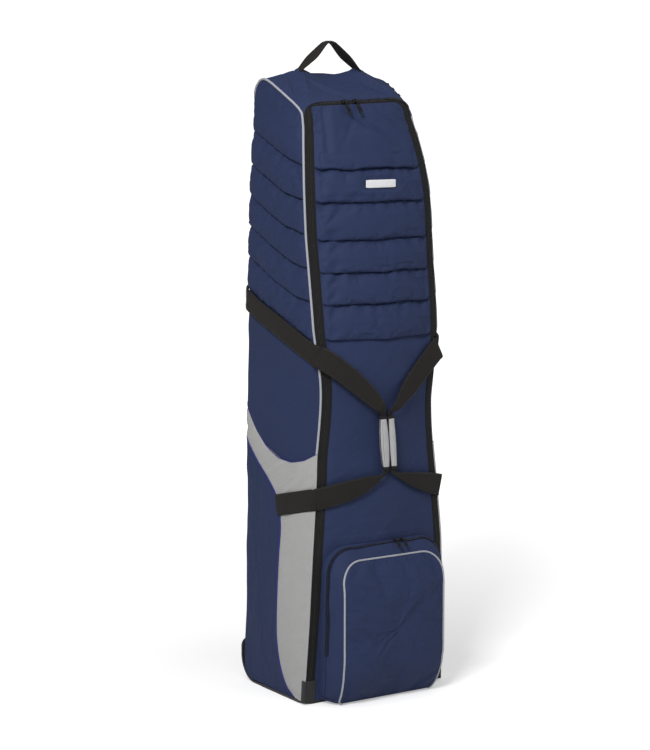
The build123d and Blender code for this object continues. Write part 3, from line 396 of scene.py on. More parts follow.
def tube_obj(name, rings, across, along, material, flip=False):
    """Capped tube through rings of points, with UV lengths across and along it."""
    count, sides = rings.shape[:2]
    last = (count - 1) * sides
    faces = grid_faces(count, sides, closed=True, flip=flip)
    faces += [list(range(sides)), list(range(last, last + sides))[::-1]]
    uv = np.stack([np.broadcast_to(across, (count, sides)),
                   np.broadcast_to(along[:, None], (count, sides))], -1)
    return mesh_obj(name, rings, faces, material, uv)


def cord(name, path, radius, material, sides=10, up=(0, 1, 0)):
    along = tangents(path)
    axis = np.cross(along, np.array(up, float))
    parallel = np.linalg.norm(axis, axis=1) < 0.15
    axis[parallel] = np.cross(along[parallel], np.array([1.0, 0, 0]))
    axis = steady(unit(axis))
    other = np.cross(along, axis)
    angle = np.linspace(0, 2 * np.pi, sides, endpoint=False)
    cosine, sine = np.cos(angle)[None, :, None], np.sin(angle)[None, :, None]
    rings = path[:, None] + radius * (axis[:, None] * cosine + other[:, None] * sine)
    return tube_obj(name, rings, angle * radius, arc_length(path), material, flip=True)


def webbing(centre, width, normal, half, thick):
    """Flat woven strap from a centre line, width directions and face normals."""
    width = unit(width)
    normal = square_to(unit(normal), width)
    half = np.broadcast_to(np.asarray(half, float), (len(centre),))
    top = [(x, 0.5 * (1 - abs(x) ** 6) ** 0.5) for x in np.linspace(-1, 1, 11)]
    section = top + [(x, -h) for x, h in top[::-1]][1:-1]
    rings = np.stack([centre + width * (half * x)[:, None] + normal * (thick * h)
                      for x, h in section], 1)
    across = np.array([x for x, _ in section])[None, :] * half[:, None]
    return tube_obj("strap", rings, across, arc_length(centre), "black_webbing", flip=True)


STITCH_FACES = grid_faces(4, 5, closed=True) + [[4, 3, 2, 1, 0], [15, 16, 17, 18, 19]]
TOOTH_FACES = grid_faces(3, 4, closed=True) + [[0, 3, 2, 1], [8, 9, 10, 11]]


def repeat_faces(faces, count, verts_each):
    return [[i + k * verts_each for i in face] for k in range(count) for face in faces]


def stitches(path, normal, pitch, length, radius=0.42):
    """Row of thread stitches along a path, each a small rounded bar."""
    normal = np.broadcast_to(unit(normal), path.shape)
    distance = arc_length(path)
    end = distance[-1]
    count = max(1, int(end / pitch))
    angles = (0, np.pi / 3, 2 * np.pi / 3, np.pi, 4.5 * np.pi / 3)
    # offset along the stitch, share of the full radius
    stations = ((-length / 2, 0.35), (-length / 2 + 0.5, 1.0),
                (length / 2 - 0.5, 1.0), (length / 2, 0.35))
    verts = []
    for middle in (np.arange(count) + 0.5) * end / count:
        for offset, share in stations:
            at = np.clip(middle + offset, 0, end)
            point = sample(path, distance, at)
            out = unit(sample(normal, distance, at))
            ahead = sample(path, distance, np.clip(at + 0.5, 0, end))
            behind = sample(path, distance, np.clip(at - 0.5, 0, end))
            across = unit(np.cross(unit(ahead - behind), out))
            verts += [point + out * (0.3 + share * radius * 0.8 * math.sin(angle))
                      + across * (share * radius * math.cos(angle)) for angle in angles]
    faces = repeat_faces(STITCH_FACES, count, verts_each=20)
    return mesh_obj("stitches", verts, faces, "thread_black")


def edge_seams(centre, width, normal, reach, lift=1.1, pitch=4.2, length=3.0):
    """Two rows of stitches, reach away from the centre line on either side."""
    return [stitches(centre + width * way * reach + normal * lift, normal, pitch, length)
            for way in (1, -1)]


def teeth_obj(name, centres, across, along, out, levels):
    """Zip teeth; levels are (height, half width across, half length along)."""
    corners = ((-1, -1), (1, -1), (1, 1), (-1, 1))
    block = np.array([(wide * i, long * j, height)
                      for height, wide, long in levels for i, j in corners])
    verts = centres[:, None] + block @ np.stack([across, along, out], 1)
    faces = repeat_faces(TOOTH_FACES, len(centres), verts_each=12)
    return mesh_obj(name, verts, faces, "zip_teeth")


def join(name, objs):
    """One object from several, keeping each one's material and UV."""
    bpy.ops.object.select_all(action="DESELECT")
    for obj in objs:
        obj.select_set(True)
    bpy.context.view_layer.objects.active = objs[0]
    bpy.ops.object.join()
    objs[0].name = name
    objs[0].data.name = name
    return objs[0]


def place(obj, body, slot, *nodes):
    """Fix a piece to a moving body, in place of CAD nodes. The slot argument is not used."""
    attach(obj, body)
    if nodes:
        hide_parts(*nodes)


def blend_at_fold(obj):
    """Bake a piece's transform into its mesh, leaving it on no moving body."""
    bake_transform(obj)


# ---------------------------------------------------------------- materials (metres)
class Shader:
    """Node tree of one material; inputs take a number, a tuple or another node's output."""

    def __init__(self, name):
        self.material = bpy.data.materials.new(name)
        self.material.use_nodes = True
        self.tree = self.material.node_tree
        self.tree.nodes.clear()
        output = self.node("ShaderNodeOutputMaterial")
        self.surface = self.node("ShaderNodeBsdfPrincipled")
        self.feed(output.inputs[0], self.surface.outputs[0])

    def feed(self, socket, value):
        if isinstance(value, bpy.types.NodeSocket):
            self.tree.links.new(value, socket)
        elif socket.type == "RGBA":
            socket.default_value = (*value, 1.0)
        else:
            socket.default_value = value

    def node(self, kind, inputs=(), **attributes):
        new = self.tree.nodes.new(kind)
        for key, value in attributes.items():
            setattr(new, key, value)
        for key, value in dict(inputs).items():
            self.feed(new.inputs[key], value)
        return new

    def shade(self, inputs):
        for key, value in inputs.items():
            self.feed(self.surface.inputs[key], value)

    def math(self, operation, *values):
        return self.node("ShaderNodeMath", enumerate(values), operation=operation).outputs[0]

    def above(self, value, limit):
        """How far the value is over the limit, never below 0."""
        return self.math("MAXIMUM", self.math("SUBTRACT", value, limit), 0.0)

    def mix(self, factor, first, second):
        inputs = {0: factor, 6: first, 7: second}
        return self.node("ShaderNodeMix", inputs, data_type="RGBA").outputs[2]

    def to_range(self, value, low, high):
        inputs = {"Value": value, "To Min": low, "To Max": high}
        return self.node("ShaderNodeMapRange", inputs).outputs[0]

    def noise(self, coord, scale, detail=3.0, rough=0.5):
        inputs = {"Scale": scale, "Detail": detail, "Roughness": rough, "Vector": coord}
        return self.node("ShaderNodeTexNoise", inputs).outputs[0]

    def mapped(self, coord, **inputs):
        return self.node("ShaderNodeMapping", {"Vector": coord, **inputs}).outputs[0]

    def uv(self):
        return self.node("ShaderNodeUVMap", uv_map="fab").outputs[0]

    def object_coord(self):
        return self.node("ShaderNodeTexCoord").outputs["Object"]

    def pointiness(self):
        return self.node("ShaderNodeNewGeometry").outputs["Pointiness"]

    def split(self, vector):
        return self.node("ShaderNodeSeparateXYZ", {0: vector}).outputs[:2]

    def bump(self, height, strength, distance, normal=None):
        inputs = {"Strength": strength, "Distance": distance, "Height": height}
        if normal is not None:
            inputs["Normal"] = normal
        return self.node("ShaderNodeBump", inputs).outputs[0]


def tone(colour, gain, lift=0.0):
    return tuple(min(1, channel * gain + lift) for channel in colour)


def weave_height(shader, uv, pitch):
    """Height of a plain weave, and which of its two threads is on top."""
    x, y = shader.split(uv)
    angle_x = shader.math("MULTIPLY", x, math.pi / pitch)
    angle_y = shader.math("MULTIPLY", y, math.pi / pitch)
    wave_x, wave_y = shader.math("SINE", angle_x), shader.math("SINE", angle_y)
    over = shader.math("GREATER_THAN", shader.math("MULTIPLY", wave_x, wave_y), 0.0)
    wave_x, wave_y = shader.math("ABSOLUTE", wave_x), shader.math("ABSOLUTE", wave_y)
    first = shader.math("MULTIPLY", over, shader.math("POWER", wave_y, 0.5))
    under = shader.math("SUBTRACT", 1.0, over)
    second = shader.math("MULTIPLY", under, shader.math("POWER", wave_x, 0.5))
    return shader.math("ADD", first, second), over


def fabric(name, colour, pitch=0.0007, rough=0.82, sheen=0.25, variation=0.16,
           specular=0.3, tint=(0.5, 0.55, 0.8), slub=0.25):
    """Woven cloth: pitch is the thread spacing, slub the unevenness of its threads."""
    shader = Shader(name)
    uv, coord = shader.uv(), shader.object_coord()
    weave, over = weave_height(shader, uv, pitch)
    broad = shader.noise(coord, scale=5.0)
    fine = shader.noise(coord, scale=38.0, detail=4.0)
    streaks = [shader.noise(shader.mapped(uv, Scale=stretch), scale=1.0, detail=2.0)
               for stretch in ((60.0, 1400.0, 1.0), (1400.0, 60.0, 1.0))]
    # mottling from both noises, then the streaks of thicker thread each way
    mottle = shader.math("ADD", shader.math("MULTIPLY", broad, 0.55),
                         shader.math("MULTIPLY", fine, 0.45))
    streak = shader.math("SUBTRACT", shader.math("ADD", *streaks), 1.0)
    mottle = shader.math("ADD", mottle, shader.math("MULTIPLY", streak, slub * 2))
    mottle = shader.math("MINIMUM", shader.math("MAXIMUM", mottle, 0.0), 1.0)
    mixed = shader.mix(mottle, tone(colour, 1 - variation), tone(colour, 1 + variation))
    # one set of threads a little paler, the gaps between threads darker
    mixed = shader.mix(shader.math("MULTIPLY", over, 0.10), mixed, tone(colour, 1.35, 0.004))
    gap = shader.math("MULTIPLY", shader.math("SUBTRACT", 1.0, weave), 0.35)
    mixed = shader.mix(gap, mixed, tone(colour, 0.45))
    # painted highlight with a little wear: slightly paler where the cloth is convex, on folds
    # and ridges
    convex = shader.to_range(shader.pointiness(), low=0.0, high=1.0)
    wear_and_highlight = shader.math("MULTIPLY", shader.above(convex, 0.515), 3.0)
    wear_and_highlight = shader.math("MINIMUM", wear_and_highlight, 0.06)
    mixed = shader.mix(wear_and_highlight, mixed, tone(colour, 1.7, 0.01))
    shader.shade({
        "Base Color": mixed,
        "Roughness": shader.to_range(fine, low=rough - 0.07, high=rough + 0.08),
        "Specular IOR Level": specular,
        "Sheen Weight": sheen,
        "Sheen Roughness": 0.45,
        "Sheen Tint": tint})
    uneven = shader.math("ADD", fine, shader.math("MULTIPLY", broad, 2.0))
    uneven = shader.bump(uneven, strength=0.25, distance=0.004)
    normal = shader.bump(weave, strength=0.35, distance=pitch * 0.5, normal=uneven)
    shader.shade({"Normal": normal})
    return shader.material


def webbing_weave(name, colour):
    """Heavy webbing: chevron ribs across the strap, fine yarns along it."""
    chevron, chevron_rise, rib, yarn = 0.006, 0.0026, 0.0016, 0.0011
    shader = Shader(name)
    uv, coord = shader.uv(), shader.object_coord()
    x, y = shader.split(uv)
    zigzag = shader.math("FRACT", shader.math("DIVIDE", x, chevron))
    zigzag = shader.math("ABSOLUTE", shader.math("SUBTRACT", zigzag, 0.5))
    slanted = shader.math("ADD", y, shader.math("MULTIPLY", zigzag, chevron_rise))

    def waves(value, pitch):
        angle = shader.math("MULTIPLY", value, math.pi / pitch)
        return shader.math("ABSOLUTE", shader.math("SINE", angle))

    ribs, yarns = waves(slanted, rib), waves(x, yarn)
    height = shader.math("ADD", shader.math("MULTIPLY", ribs, 0.7),
                         shader.math("MULTIPLY", yarns, 0.3))
    cloud = shader.noise(coord, scale=60.0)
    # from dark gaps to pale ribs, then patches a little paler still
    mixed = shader.mix(shader.math("MULTIPLY", height, 0.8), tone(colour, 0.45),
                       tone(colour, 1.35))
    mixed = shader.mix(shader.math("MULTIPLY", cloud, 0.3), mixed, tone(colour, 1.8, 0.004))
    shader.shade({
        "Base Color": mixed,
        "Roughness": shader.to_range(cloud, low=0.7 - 0.06, high=0.7 + 0.1),
        "Specular IOR Level": 0.16,
        "Sheen Weight": 0.05,
        "Sheen Roughness": 0.4})
    uneven = shader.bump(cloud, strength=0.2, distance=0.001)
    shader.shade({"Normal": shader.bump(height, strength=0.6, distance=0.0005, normal=uneven)})
    return shader.material


def plastic(name, colour, rough=0.5, grain=900.0, bump=0.25, wear_and_highlight=0.25, metal=0.0):
    """Moulded plastic with a fine grain, scuffs and slightly worn edges."""
    shader = Shader(name)
    coord = shader.object_coord()
    cells = shader.node("ShaderNodeTexVoronoi", {"Scale": grain, "Vector": coord})
    cloud = shader.noise(coord, scale=24.0, detail=5.0, rough=0.6)
    stretched = shader.mapped(coord, Scale=(1.0, 9.0, 1.0), Rotation=(0.2, 0.3, 0.4))
    scratch = shader.noise(stretched, scale=90.0, detail=6.0, rough=0.7)
    scratch = shader.math("MULTIPLY", shader.above(scratch, 0.62), 2.4)
    edge = shader.math("MULTIPLY", shader.above(shader.pointiness(), 0.53), 6.0)
    edge = shader.math("MINIMUM", edge, 1.0)
    mixed = shader.mix(cloud, tone(colour, 0.85), tone(colour, 1.25))
    worn = shader.math("MINIMUM", shader.math("ADD", scratch, edge), 1.0)
    worn = shader.math("MULTIPLY", worn, wear_and_highlight)
    mixed = shader.mix(worn, mixed, tone(colour, 3, 0.05))
    base_rough = shader.to_range(cloud, low=rough - 0.08, high=rough + 0.1)
    shader.shade({
        "Base Color": mixed,
        "Roughness": shader.math("ADD", base_rough, shader.math("MULTIPLY", scratch, 0.15)),
        "Metallic": metal})
    uneven = shader.bump(cloud, strength=0.1, distance=0.001)
    grained = shader.bump(cells.outputs["Distance"], bump, distance=0.0002, normal=uneven)
    shader.shade({"Normal": grained})
    return shader.material


def steel(name):
    """Brushed steel."""
    shader = Shader(name)
    coord = shader.object_coord()
    brushed = shader.mapped(coord, Scale=(30.0, 1.0, 1.0))
    brushed = shader.noise(brushed, scale=300.0, detail=4.0, rough=0.6)
    cloud = shader.noise(coord, scale=40.0)
    shader.shade({
        "Base Color": shader.mix(cloud, (0.42, 0.42, 0.43), (0.62, 0.63, 0.64)),
        "Metallic": 1.0,
        "Roughness": shader.to_range(brushed, low=0.22, high=0.42),
        "Normal": shader.bump(brushed, strength=0.15, distance=0.0002)})
    return shader.material


NAVY = dict(colour=(0.0225, 0.0345, 0.0900), rough=0.66, sheen=0.035, variation=0.13,
            specular=0.16)
NEUTRAL = (0.9, 0.9, 0.9)
THREAD = dict(rough=0.6, grain=3000.0, bump=0.1, wear_and_highlight=0.0)
MATERIAL_LIST = [
    (fabric, "navy_pleated", NAVY),
    (fabric, "navy_polyester", NAVY),
    (fabric, "navy_dark", dict(colour=(0.010, 0.014, 0.034), rough=0.7, sheen=0.03,
                               variation=0.13, specular=0.12)),
    (fabric, "grey_polyester", dict(colour=(0.398, 0.395, 0.392), rough=0.8, sheen=0.05,
                                    specular=0.15, variation=0.06, tint=NEUTRAL, slub=0.15)),
    (fabric, "silver_piping", dict(colour=(0.37, 0.38, 0.42), pitch=0.0009, rough=0.5,
                                   sheen=0.1, variation=0.08, tint=(0.9, 0.9, 1.0),
                                   slub=0.1)),
    (fabric, "blue_piping", dict(colour=(0.026, 0.028, 0.190), pitch=0.0006, rough=0.55,
                                 sheen=0.05, specular=0.2, variation=0.15, slub=0.1)),
    (fabric, "black_zip", dict(colour=(0.0125, 0.0120, 0.0120), pitch=0.0008, rough=0.75,
                               sheen=0.04, variation=0.2, tint=(0.8, 0.8, 0.8),
                               specular=0.14)),
    (plastic, "zip_teeth", dict(colour=(0.012, 0.012, 0.012), rough=0.35, grain=2000.0,
                                bump=0.05, wear_and_highlight=0.1)),
    (fabric, "lining", dict(colour=(0.020, 0.021, 0.024), pitch=0.0006, rough=0.85,
                            sheen=0.2, variation=0.2, tint=(0.7, 0.7, 0.8))),
    (webbing_weave, "black_webbing", dict(colour=(0.0155, 0.0140, 0.0130))),
    (fabric, "grip_fabric", dict(colour=(0.42, 0.42, 0.43), pitch=0.0008, rough=0.7,
                                 sheen=0.15, variation=0.08, tint=NEUTRAL, slub=0.1)),
    (plastic, "thread_black", dict(colour=(0.03, 0.03, 0.032), **THREAD)),
    (plastic, "thread_navy", dict(colour=(0.035, 0.050, 0.130), **THREAD)),
    (plastic, "moulded_black", dict(colour=(0.0130, 0.0130, 0.0140), rough=0.48, wear_and_highlight=0.3)),
    (plastic, "stiffener_sheet", dict(colour=(0.030, 0.030, 0.032), rough=0.6, grain=500.0,
                                      bump=0.15, wear_and_highlight=0.1)),
    (plastic, "wheel_tyre", dict(colour=(0.020, 0.020, 0.021), rough=0.68, grain=700.0,
                                 bump=0.35, wear_and_highlight=0.35)),
    (steel, "steel", {}),
    (plastic, "black_zinc", dict(colour=(0.014, 0.014, 0.015), rough=0.32, grain=1500.0,
                                 bump=0.04, wear_and_highlight=0.5, metal=0.6)),
    (plastic, "buckle_plastic", dict(colour=(0.018, 0.018, 0.019), rough=0.34,
                                     grain=1200.0, bump=0.08, wear_and_highlight=0.2)),
    (fabric, "label_vinyl", dict(colour=(0.78, 0.79, 0.81), pitch=0.0005, rough=0.5,
                                 sheen=0.05, variation=0.04, tint=(1, 1, 1), slub=0.05)),
]
MATERIALS = {name: make(name, **settings) for make, name, settings in MATERIAL_LIST}

# every CAD node that stays gets its slot's material
SLOTS = {part["node"]: part["material_slot"] for part in frame["record"]["subparts"]}
for name, node in frame["nodes"].items():
    node.data.materials.clear()
    node.data.materials.append(MATERIALS[SLOTS[name]])


# ---------------------------------------------------------------- side panels
def pleat_shape(fall):
    """Outward offset and droop of one padded tuck; fall is 0 under the upper fold, 1 below."""
    inside = clip01(fall)
    out = -7.4 + 8.0 * (1 - np.exp(-inside / 0.19)) + 2.6 * inside
    out = out + 0.9 * np.sin(np.pi * inside)
    lip = clip01((fall - 0.92) / 0.08)
    out = out * (1 - lip ** 2) + (-7.4) * lip ** 2
    drop = 4.6 * bell(fall - 0.962, 0.032) + 1.5 * clip01((fall - 0.6) / 0.35) * (1 - lip)
    return out, drop


def tuck_steps(count):
    """Falls down one tuck, with their own spacing round its lip."""
    fall = np.linspace(0, 1, count)
    return np.where(fall > 0.8, 0.86 + (fall - 0.8) * 0.7, fall / 0.8 * 0.86)


TUCK_LINES = [TOP_CURVE] + [smooth_line(line) for line in TUCKS]
BAND_LINE = smooth_line(BAND_TOP)
TOP_ROWS, TUCK_ROWS = 34, 30


def pleated_side():
    """Left side from its top edge down to the lowest tuck."""
    run = side_steps(74)
    fade = clip01(run / 0.05) ** 0.8
    rows = []
    for i in range(6):
        upper, lower = lookup(run, TUCK_LINES[i]), lookup(run, TUCK_LINES[i + 1])
        if i > 0:
            upper = upper + 2.2 * noise(run * 5 + i * 3.1, i * 1.7 + 1, 1)
        if i < 5:
            lower = lower + 2.2 * noise(run * 5 + (i + 1) * 3.1, (i + 1) * 1.7 + 1, 1)
        falls = tuck_steps(TUCK_ROWS if i else TOP_ROWS)
        if 0 < i < 5:
            falls = falls[:-1]
        depth = np.clip(np.abs(upper - lower) / 45.0, 0.5, 1.0) * (0.25 + 0.75 * fade)
        depth = depth * (1 - 0.42 * clip01((run - 0.72) / 0.22))
        for fall in falls:
            z = upper + (lower - upper) * fall
            if i == 0:
                # above the first tuck the cloth is smooth and only swells
                out, drop = 2.5 * np.sin(np.pi * clip01(fall)) * fade, 0
                if fall > 0.62:
                    fold, drop = pleat_shape(0.42 + 0.58 * clip01((fall - 0.62) / 0.38))
                    out = out + (fold - pleat_shape(0.42)[0]) * depth
            else:
                out, drop = pleat_shape(np.full_like(run, fall))
                out = out * depth
            # creases fanning from the sewn edges, mostly just under each fold
            crease = wrinkle(run * SIDE_LENGTH + 40, z + run * 60, 1, 2.0)
            crease = crease * (1.3 + 1.8 * bell(fall, 0.3))
            pucker = noise(run * SIDE_LENGTH / 14.0, z / 40.0 + i, 3) * bell(run, 0.14) * 2.4
            out = out + (crease + pucker) * fade
            out = out + layered_noise(run * 3.2 + i, z / 90.0, 5) * 1.3 * fade
            if i == 5:
                hem = clip01((fall - 0.85) / 0.15)
                out = out * (1 - 0.75 * hem) - 1.0 * hem
            if i == 0:
                out = out * clip01(fall / 0.08)
            rows.append(side(run, z - drop * fade, out, -1))
    return np.array(rows)


def settled_pleats():
    """The pleated side filled out between its seams, held along each tuck."""
    grid = pleated_side()
    pins = edge_pins(grid, first=2, last=3)
    for i in range(5):
        row = TOP_ROWS + i * (TUCK_ROWS - 1)
        pins[row - 2:row + 1] = True
    return inflate(grid, pins, pressure=2.2, slack=0.025, bend=0.4, cap=3.2)


def side_strip(first, last, count, sign, shape):
    """Cloth between two matched (run, z) lines; shape(run, z, step) is its outward offset."""
    step = np.linspace(0, 1, count)[:, None, None]
    grid = first[None] * (1 - step) + last[None] * step
    run, z = grid[..., 0], grid[..., 1]
    return side(run, z, shape(run, z, step[..., 0]), sign)


def side_spline(points, count):
    return spline(np.array(points, float) * SIDE_SCALE, count) / SIDE_SCALE


def side_resample(points, count):
    return resample(points * SIDE_SCALE, count) / SIDE_SCALE


def on_line(line, run):
    return np.stack([run, lookup(run, line)], -1)


LEFT_PLEATS = settled_pleats()
LOW_LINE = side_spline(BAND_LOW, 400)


def side_piece(part, tag, grid, material, flip, thick=2.2):
    obj = sheet(f"side_{part}_cloth_{tag}", grid, material, thick, flip=flip, lined=True)
    place(obj, "case_body", material, f"side_{part}_{tag}")


def side_middle(sign, tag, seed):
    def shape(run, z, _):
        pull = -2.4 * bell(z - 640.0, 60.0) * bell(run, 0.35)
        crease = wrinkle(run * SIDE_LENGTH - z * 0.35, z * 0.6 + run * 70, seed + 3, 4.0)
        out = layered_noise(run * 2.2, z / 130.0, seed) * 2.8
        return (out + crease * 2.2 * bell(run - 0.15, 0.4) + pull) * clip01(run / 0.06)

    run = side_steps(64)
    upper, lower = on_line(TUCK_LINES[-1], run), on_line(BAND_LINE, run)
    grid = side_strip(upper, lower, 90, sign, shape)
    side_piece("middle", tag, grid, "navy_polyester", sign > 0)


def side_band(sign, tag, seed):
    """Grey band that sweeps from the rear edge forward and down to the bottom."""
    rear_count, front_count = 60, 74
    knee = int(np.argmin(np.abs((LOW_LINE - [0.456, 409]) * SIDE_SCALE).sum(1)))
    heights = np.linspace(lookup(0.0, BAND_LINE), SIDE_Z0, front_count)
    front_edge = np.stack([np.zeros(front_count), heights], -1)
    outer = np.vstack([on_line(BAND_LINE, side_steps(rear_count)[::-1]), front_edge[1:]])
    above = side_resample(LOW_LINE[:knee + 1], rear_count)
    below = side_resample(np.vstack([LOW_LINE[knee:], [[0.12, SIDE_Z0]]]), front_count)
    inner = np.vstack([above, below[1:]])

    def shape(run, z, step):
        middle = np.sin(np.pi * step)
        # creases drawn from the rear edge, on a slant
        length = run * SIDE_LENGTH
        across = (length * 52.0 + z * 79.0) / 94.6
        along = (z * 52.0 - length * 79.0) / 94.6
        broad = ridge(noise(across / 17.0, along / 150.0, seed + 2)) - 0.3
        fine = ridge(noise(across / 9.0 + 4.0, along / 90.0, seed + 5)) - 0.3
        out = 1.8 * middle + layered_noise(run * 3, z / 70.0, seed + 7) * 0.9 * middle
        out = out + (4.6 * broad + 1.8 * fine) * clip01(middle * 2.0)
        return 3.0 * np.tanh(out / 3.0)

    grid = side_strip(outer, inner, 44, sign, shape)
    side_piece("band", tag, grid, "grey_polyester", sign < 0)


def side_lower(sign, tag, seed):
    """Lower panel, from the band to the rear edge and the rounded rear foot."""
    foot_y, foot_z, foot_radius = 69.0, 55.0, 55.0 - 5.2
    angle = np.radians(np.linspace(0, 90, 26))
    y = foot_y + foot_radius * np.cos(angle)
    z = np.maximum(foot_z - foot_radius * np.sin(angle), SIDE_Z0)
    start = edge_y(z)
    foot = np.stack([(y - start) / (REAR_Y - start), z], -1)
    edge = np.vstack([[[1.0, 551.0], [1.0, 300.0], [1.0, 110.0], [1.0, 96.0],
                       [foot[0, 0] + 0.004, 74.0]], foot[1:],
                      [[0.5, SIDE_Z0], [0.13, SIDE_Z0]]])
    inner = side_resample(np.vstack([LOW_LINE, [[0.125, SIDE_Z0]]]), 110)
    outer = side_resample(edge, 110)

    def shape(run, z, step):
        ease = clip01(np.minimum(step, 1 - step) / 0.08)
        out = layered_noise(run * 2.5, z / 120.0, seed + 9) * 2.4
        return (out + wrinkle(z * 0.8, run * SIDE_LENGTH, seed + 1, 4.0) * 1.3) * ease

    grid = side_strip(inner, outer, 60, sign, shape)
    side_piece("lower", tag, grid, "navy_polyester", sign < 0)


def band_piping(sign, tag):
    """Blue cord along both edges of the band."""
    upper = resample(side(BAND_LINE[:, 0], BAND_LINE[:, 1], 1.0, sign), 150)
    lower = resample(side(LOW_LINE[:, 0], LOW_LINE[:, 1], 1.2, sign), 260)
    cords = [cord("band_cord", path, radius, "blue_piping", sides=7, up=(sign, 0, 0))
             for path, radius in ((upper, 1.0), (lower, 1.5))]
    obj = join(f"band_piping_{tag}_cord", cords)
    place(obj, "case_body", "blue_piping", *(["band_piping"] if sign < 0 else []))


def edge_piping(sign, tag):
    """Light cord up the front edge, over the top edge and down the rear corner."""
    tuck = 0.0 if sign < 0 else 1.0             # the right one sits further in
    z = np.linspace(534.0, 1219.0, 150)
    rise = np.stack([sign * (half_front(z) + 0.2 - 1.6 * tuck),
                     edge_y(z) - 0.6 + 3.0 * tuck, z], -1)
    run = np.linspace(0.012, 1.0, 110)
    over = side(run, lookup(run, TOP_CURVE), 0.8, sign)
    over[:, 2] += 0.8 - 4.2 * tuck
    over[:, 0] -= 0.9 * tuck
    path = spline(np.vstack([rise[::7], over[::4]]), 420)
    upper = cord("upper_cord", path, 2.45, "silver_piping", sides=12, up=(sign, 0, 0))
    z = np.linspace(50.0, 534.0, 90)
    path = np.stack([sign * (half_front(z) - 0.4), edge_y(z) - 0.2, z], -1)
    lower = cord("lower_cord", path, 2.0, "grey_polyester", up=(sign, 0, 0))
    obj = join(f"edge_piping_cord_{tag}", [upper, lower])
    place(obj, "case_body", "silver_piping", f"edge_piping_{tag}")


for sign, tag in SIDES:
    seed = 1 if sign < 0 else 6
    pleats = LEFT_PLEATS * np.array([-sign, 1.0, 1.0])
    side_piece("upper", tag, pleats, "navy_pleated", sign > 0, thick=2.4)
    side_middle(sign, tag, seed)
    side_band(sign, tag, seed)
    side_lower(sign, tag, seed)
    band_piping(sign, tag)
    edge_piping(sign, tag)


# ---------------------------------------------------------------- back panel
def back_panel():
    low, high = 86.0, 1236.0
    heights = np.concatenate([[low], np.linspace(92, high, 120)])
    z, span = np.meshgrid(heights, np.linspace(-1, 1, 60), indexing="ij")
    x = span * (half_rear(z) - rear_radius(z))
    puff = 2.0 * (1 - span ** 4) * clip01((z - 90) / 40) * clip01((high - z) / 40)
    uneven = layered_noise(x / 90.0, z / 120.0, 3) * 0.9 + wrinkle(x, z, 4) * 0.5
    puff += uneven * (1 - span ** 6)
    # quilting seams that hold the stiffener
    for seam in (300.0, 560.0, 820.0, 1080.0):
        puff -= 2.0 * bell(z - seam, 4.0)
    grid = np.stack([x, REAR_Y - 1.4 + puff * 0.7, z], -1)
    obj = sheet("back_cloth", grid, "navy_polyester", 2.2, flip=True, lined=True)
    place(obj, "case_body", "navy_polyester", "back_panel")


back_panel()

# ---------------------------------------------------------------- top panel
HANDLE_Y, HANDLE_FOOT_X = 42.0, 74.0
TOP_FRONT_Y = -70.0
TOP_DEPTH = REAR_Y - TOP_FRONT_Y
RIDGE = (HANDLE_Y - TOP_FRONT_Y) / TOP_DEPTH    # run of the handle's plane
# creases: x and run of each end, depth, width
TOP_CREASES = (
    ((-74, 0.50), (58, 0.02), 3.4, 7.0), ((-68, 0.44), (-6, 0.02), -2.2, 6.0),
    ((-30, 0.56), (96, 0.10), 2.2, 8.0), ((70, 0.50), (116, 0.06), -2.0, 7.0),
    ((-98, 0.55), (-124, 0.20), 1.8, 6.0))


def door_top(x):
    """Height of the line where the top panel meets the zip's outer tape."""
    span = clip01(np.abs(x) / 137.0)
    return 1227.0 + (43.2 + 0.034 * x) * (1 - span ** 8) ** 0.45


def top_crown(span, run):
    """Height above the side's top edge: a tent on the handle's feet, sagging between."""
    rise = clip01(run / RIDGE)
    peak = 0.47 + 0.44 * (1 - rise) ** 1.3          # span where the tent is highest
    back = clip01((run - RIDGE - 0.03) / (1 - RIDGE - 0.03))
    edge = lookup(np.minimum(run, RIDGE), TOP_CURVE)
    sag = np.sin(np.pi * rise)
    behind = clip01(back / 0.3)
    centre = (1270.5 + (1317.0 - 1270.5) * rise - 9.0 * sag) - edge + 1.0 * behind
    high = (1258.0 + (1330.5 - 1258.0) * rise + 3.0 * sag) - edge - 9.0 * behind
    reach = np.abs(span)
    inner = centre + (high - centre) * clip01(reach / peak) ** 2.8
    past = clip01((reach - peak) / (1 - peak))
    outer = high * ((1 - past) ** 1.12 + 0.06 * np.sin(np.pi * past))
    weight = 1 / (1 + np.exp(-(reach - peak) / 0.018))
    return (inner * (1 - weight) + outer * weight) * (1 - back ** 1.25)


def top_creases(span, run):
    total = 0.0
    for (x_a, run_a), (x_b, run_b), depth, width in TOP_CREASES:
        step_x, step_y = x_b - x_a, (run_b - run_a) * TOP_DEPTH
        length = math.hypot(step_x, step_y)
        x, y = span * 140.0 - x_a, (run - run_a) * TOP_DEPTH
        along = (x * step_x + y * step_y) / length
        off = (x * step_y - y * step_x) / length
        ends = clip01(along / 14.0) * clip01((length - along) / 20.0)
        total = total - 2.1 * depth * bell(off, width) * ends
        total = total + 1.3 * depth * bell(off - 1.7 * width, width) * ends
    return total


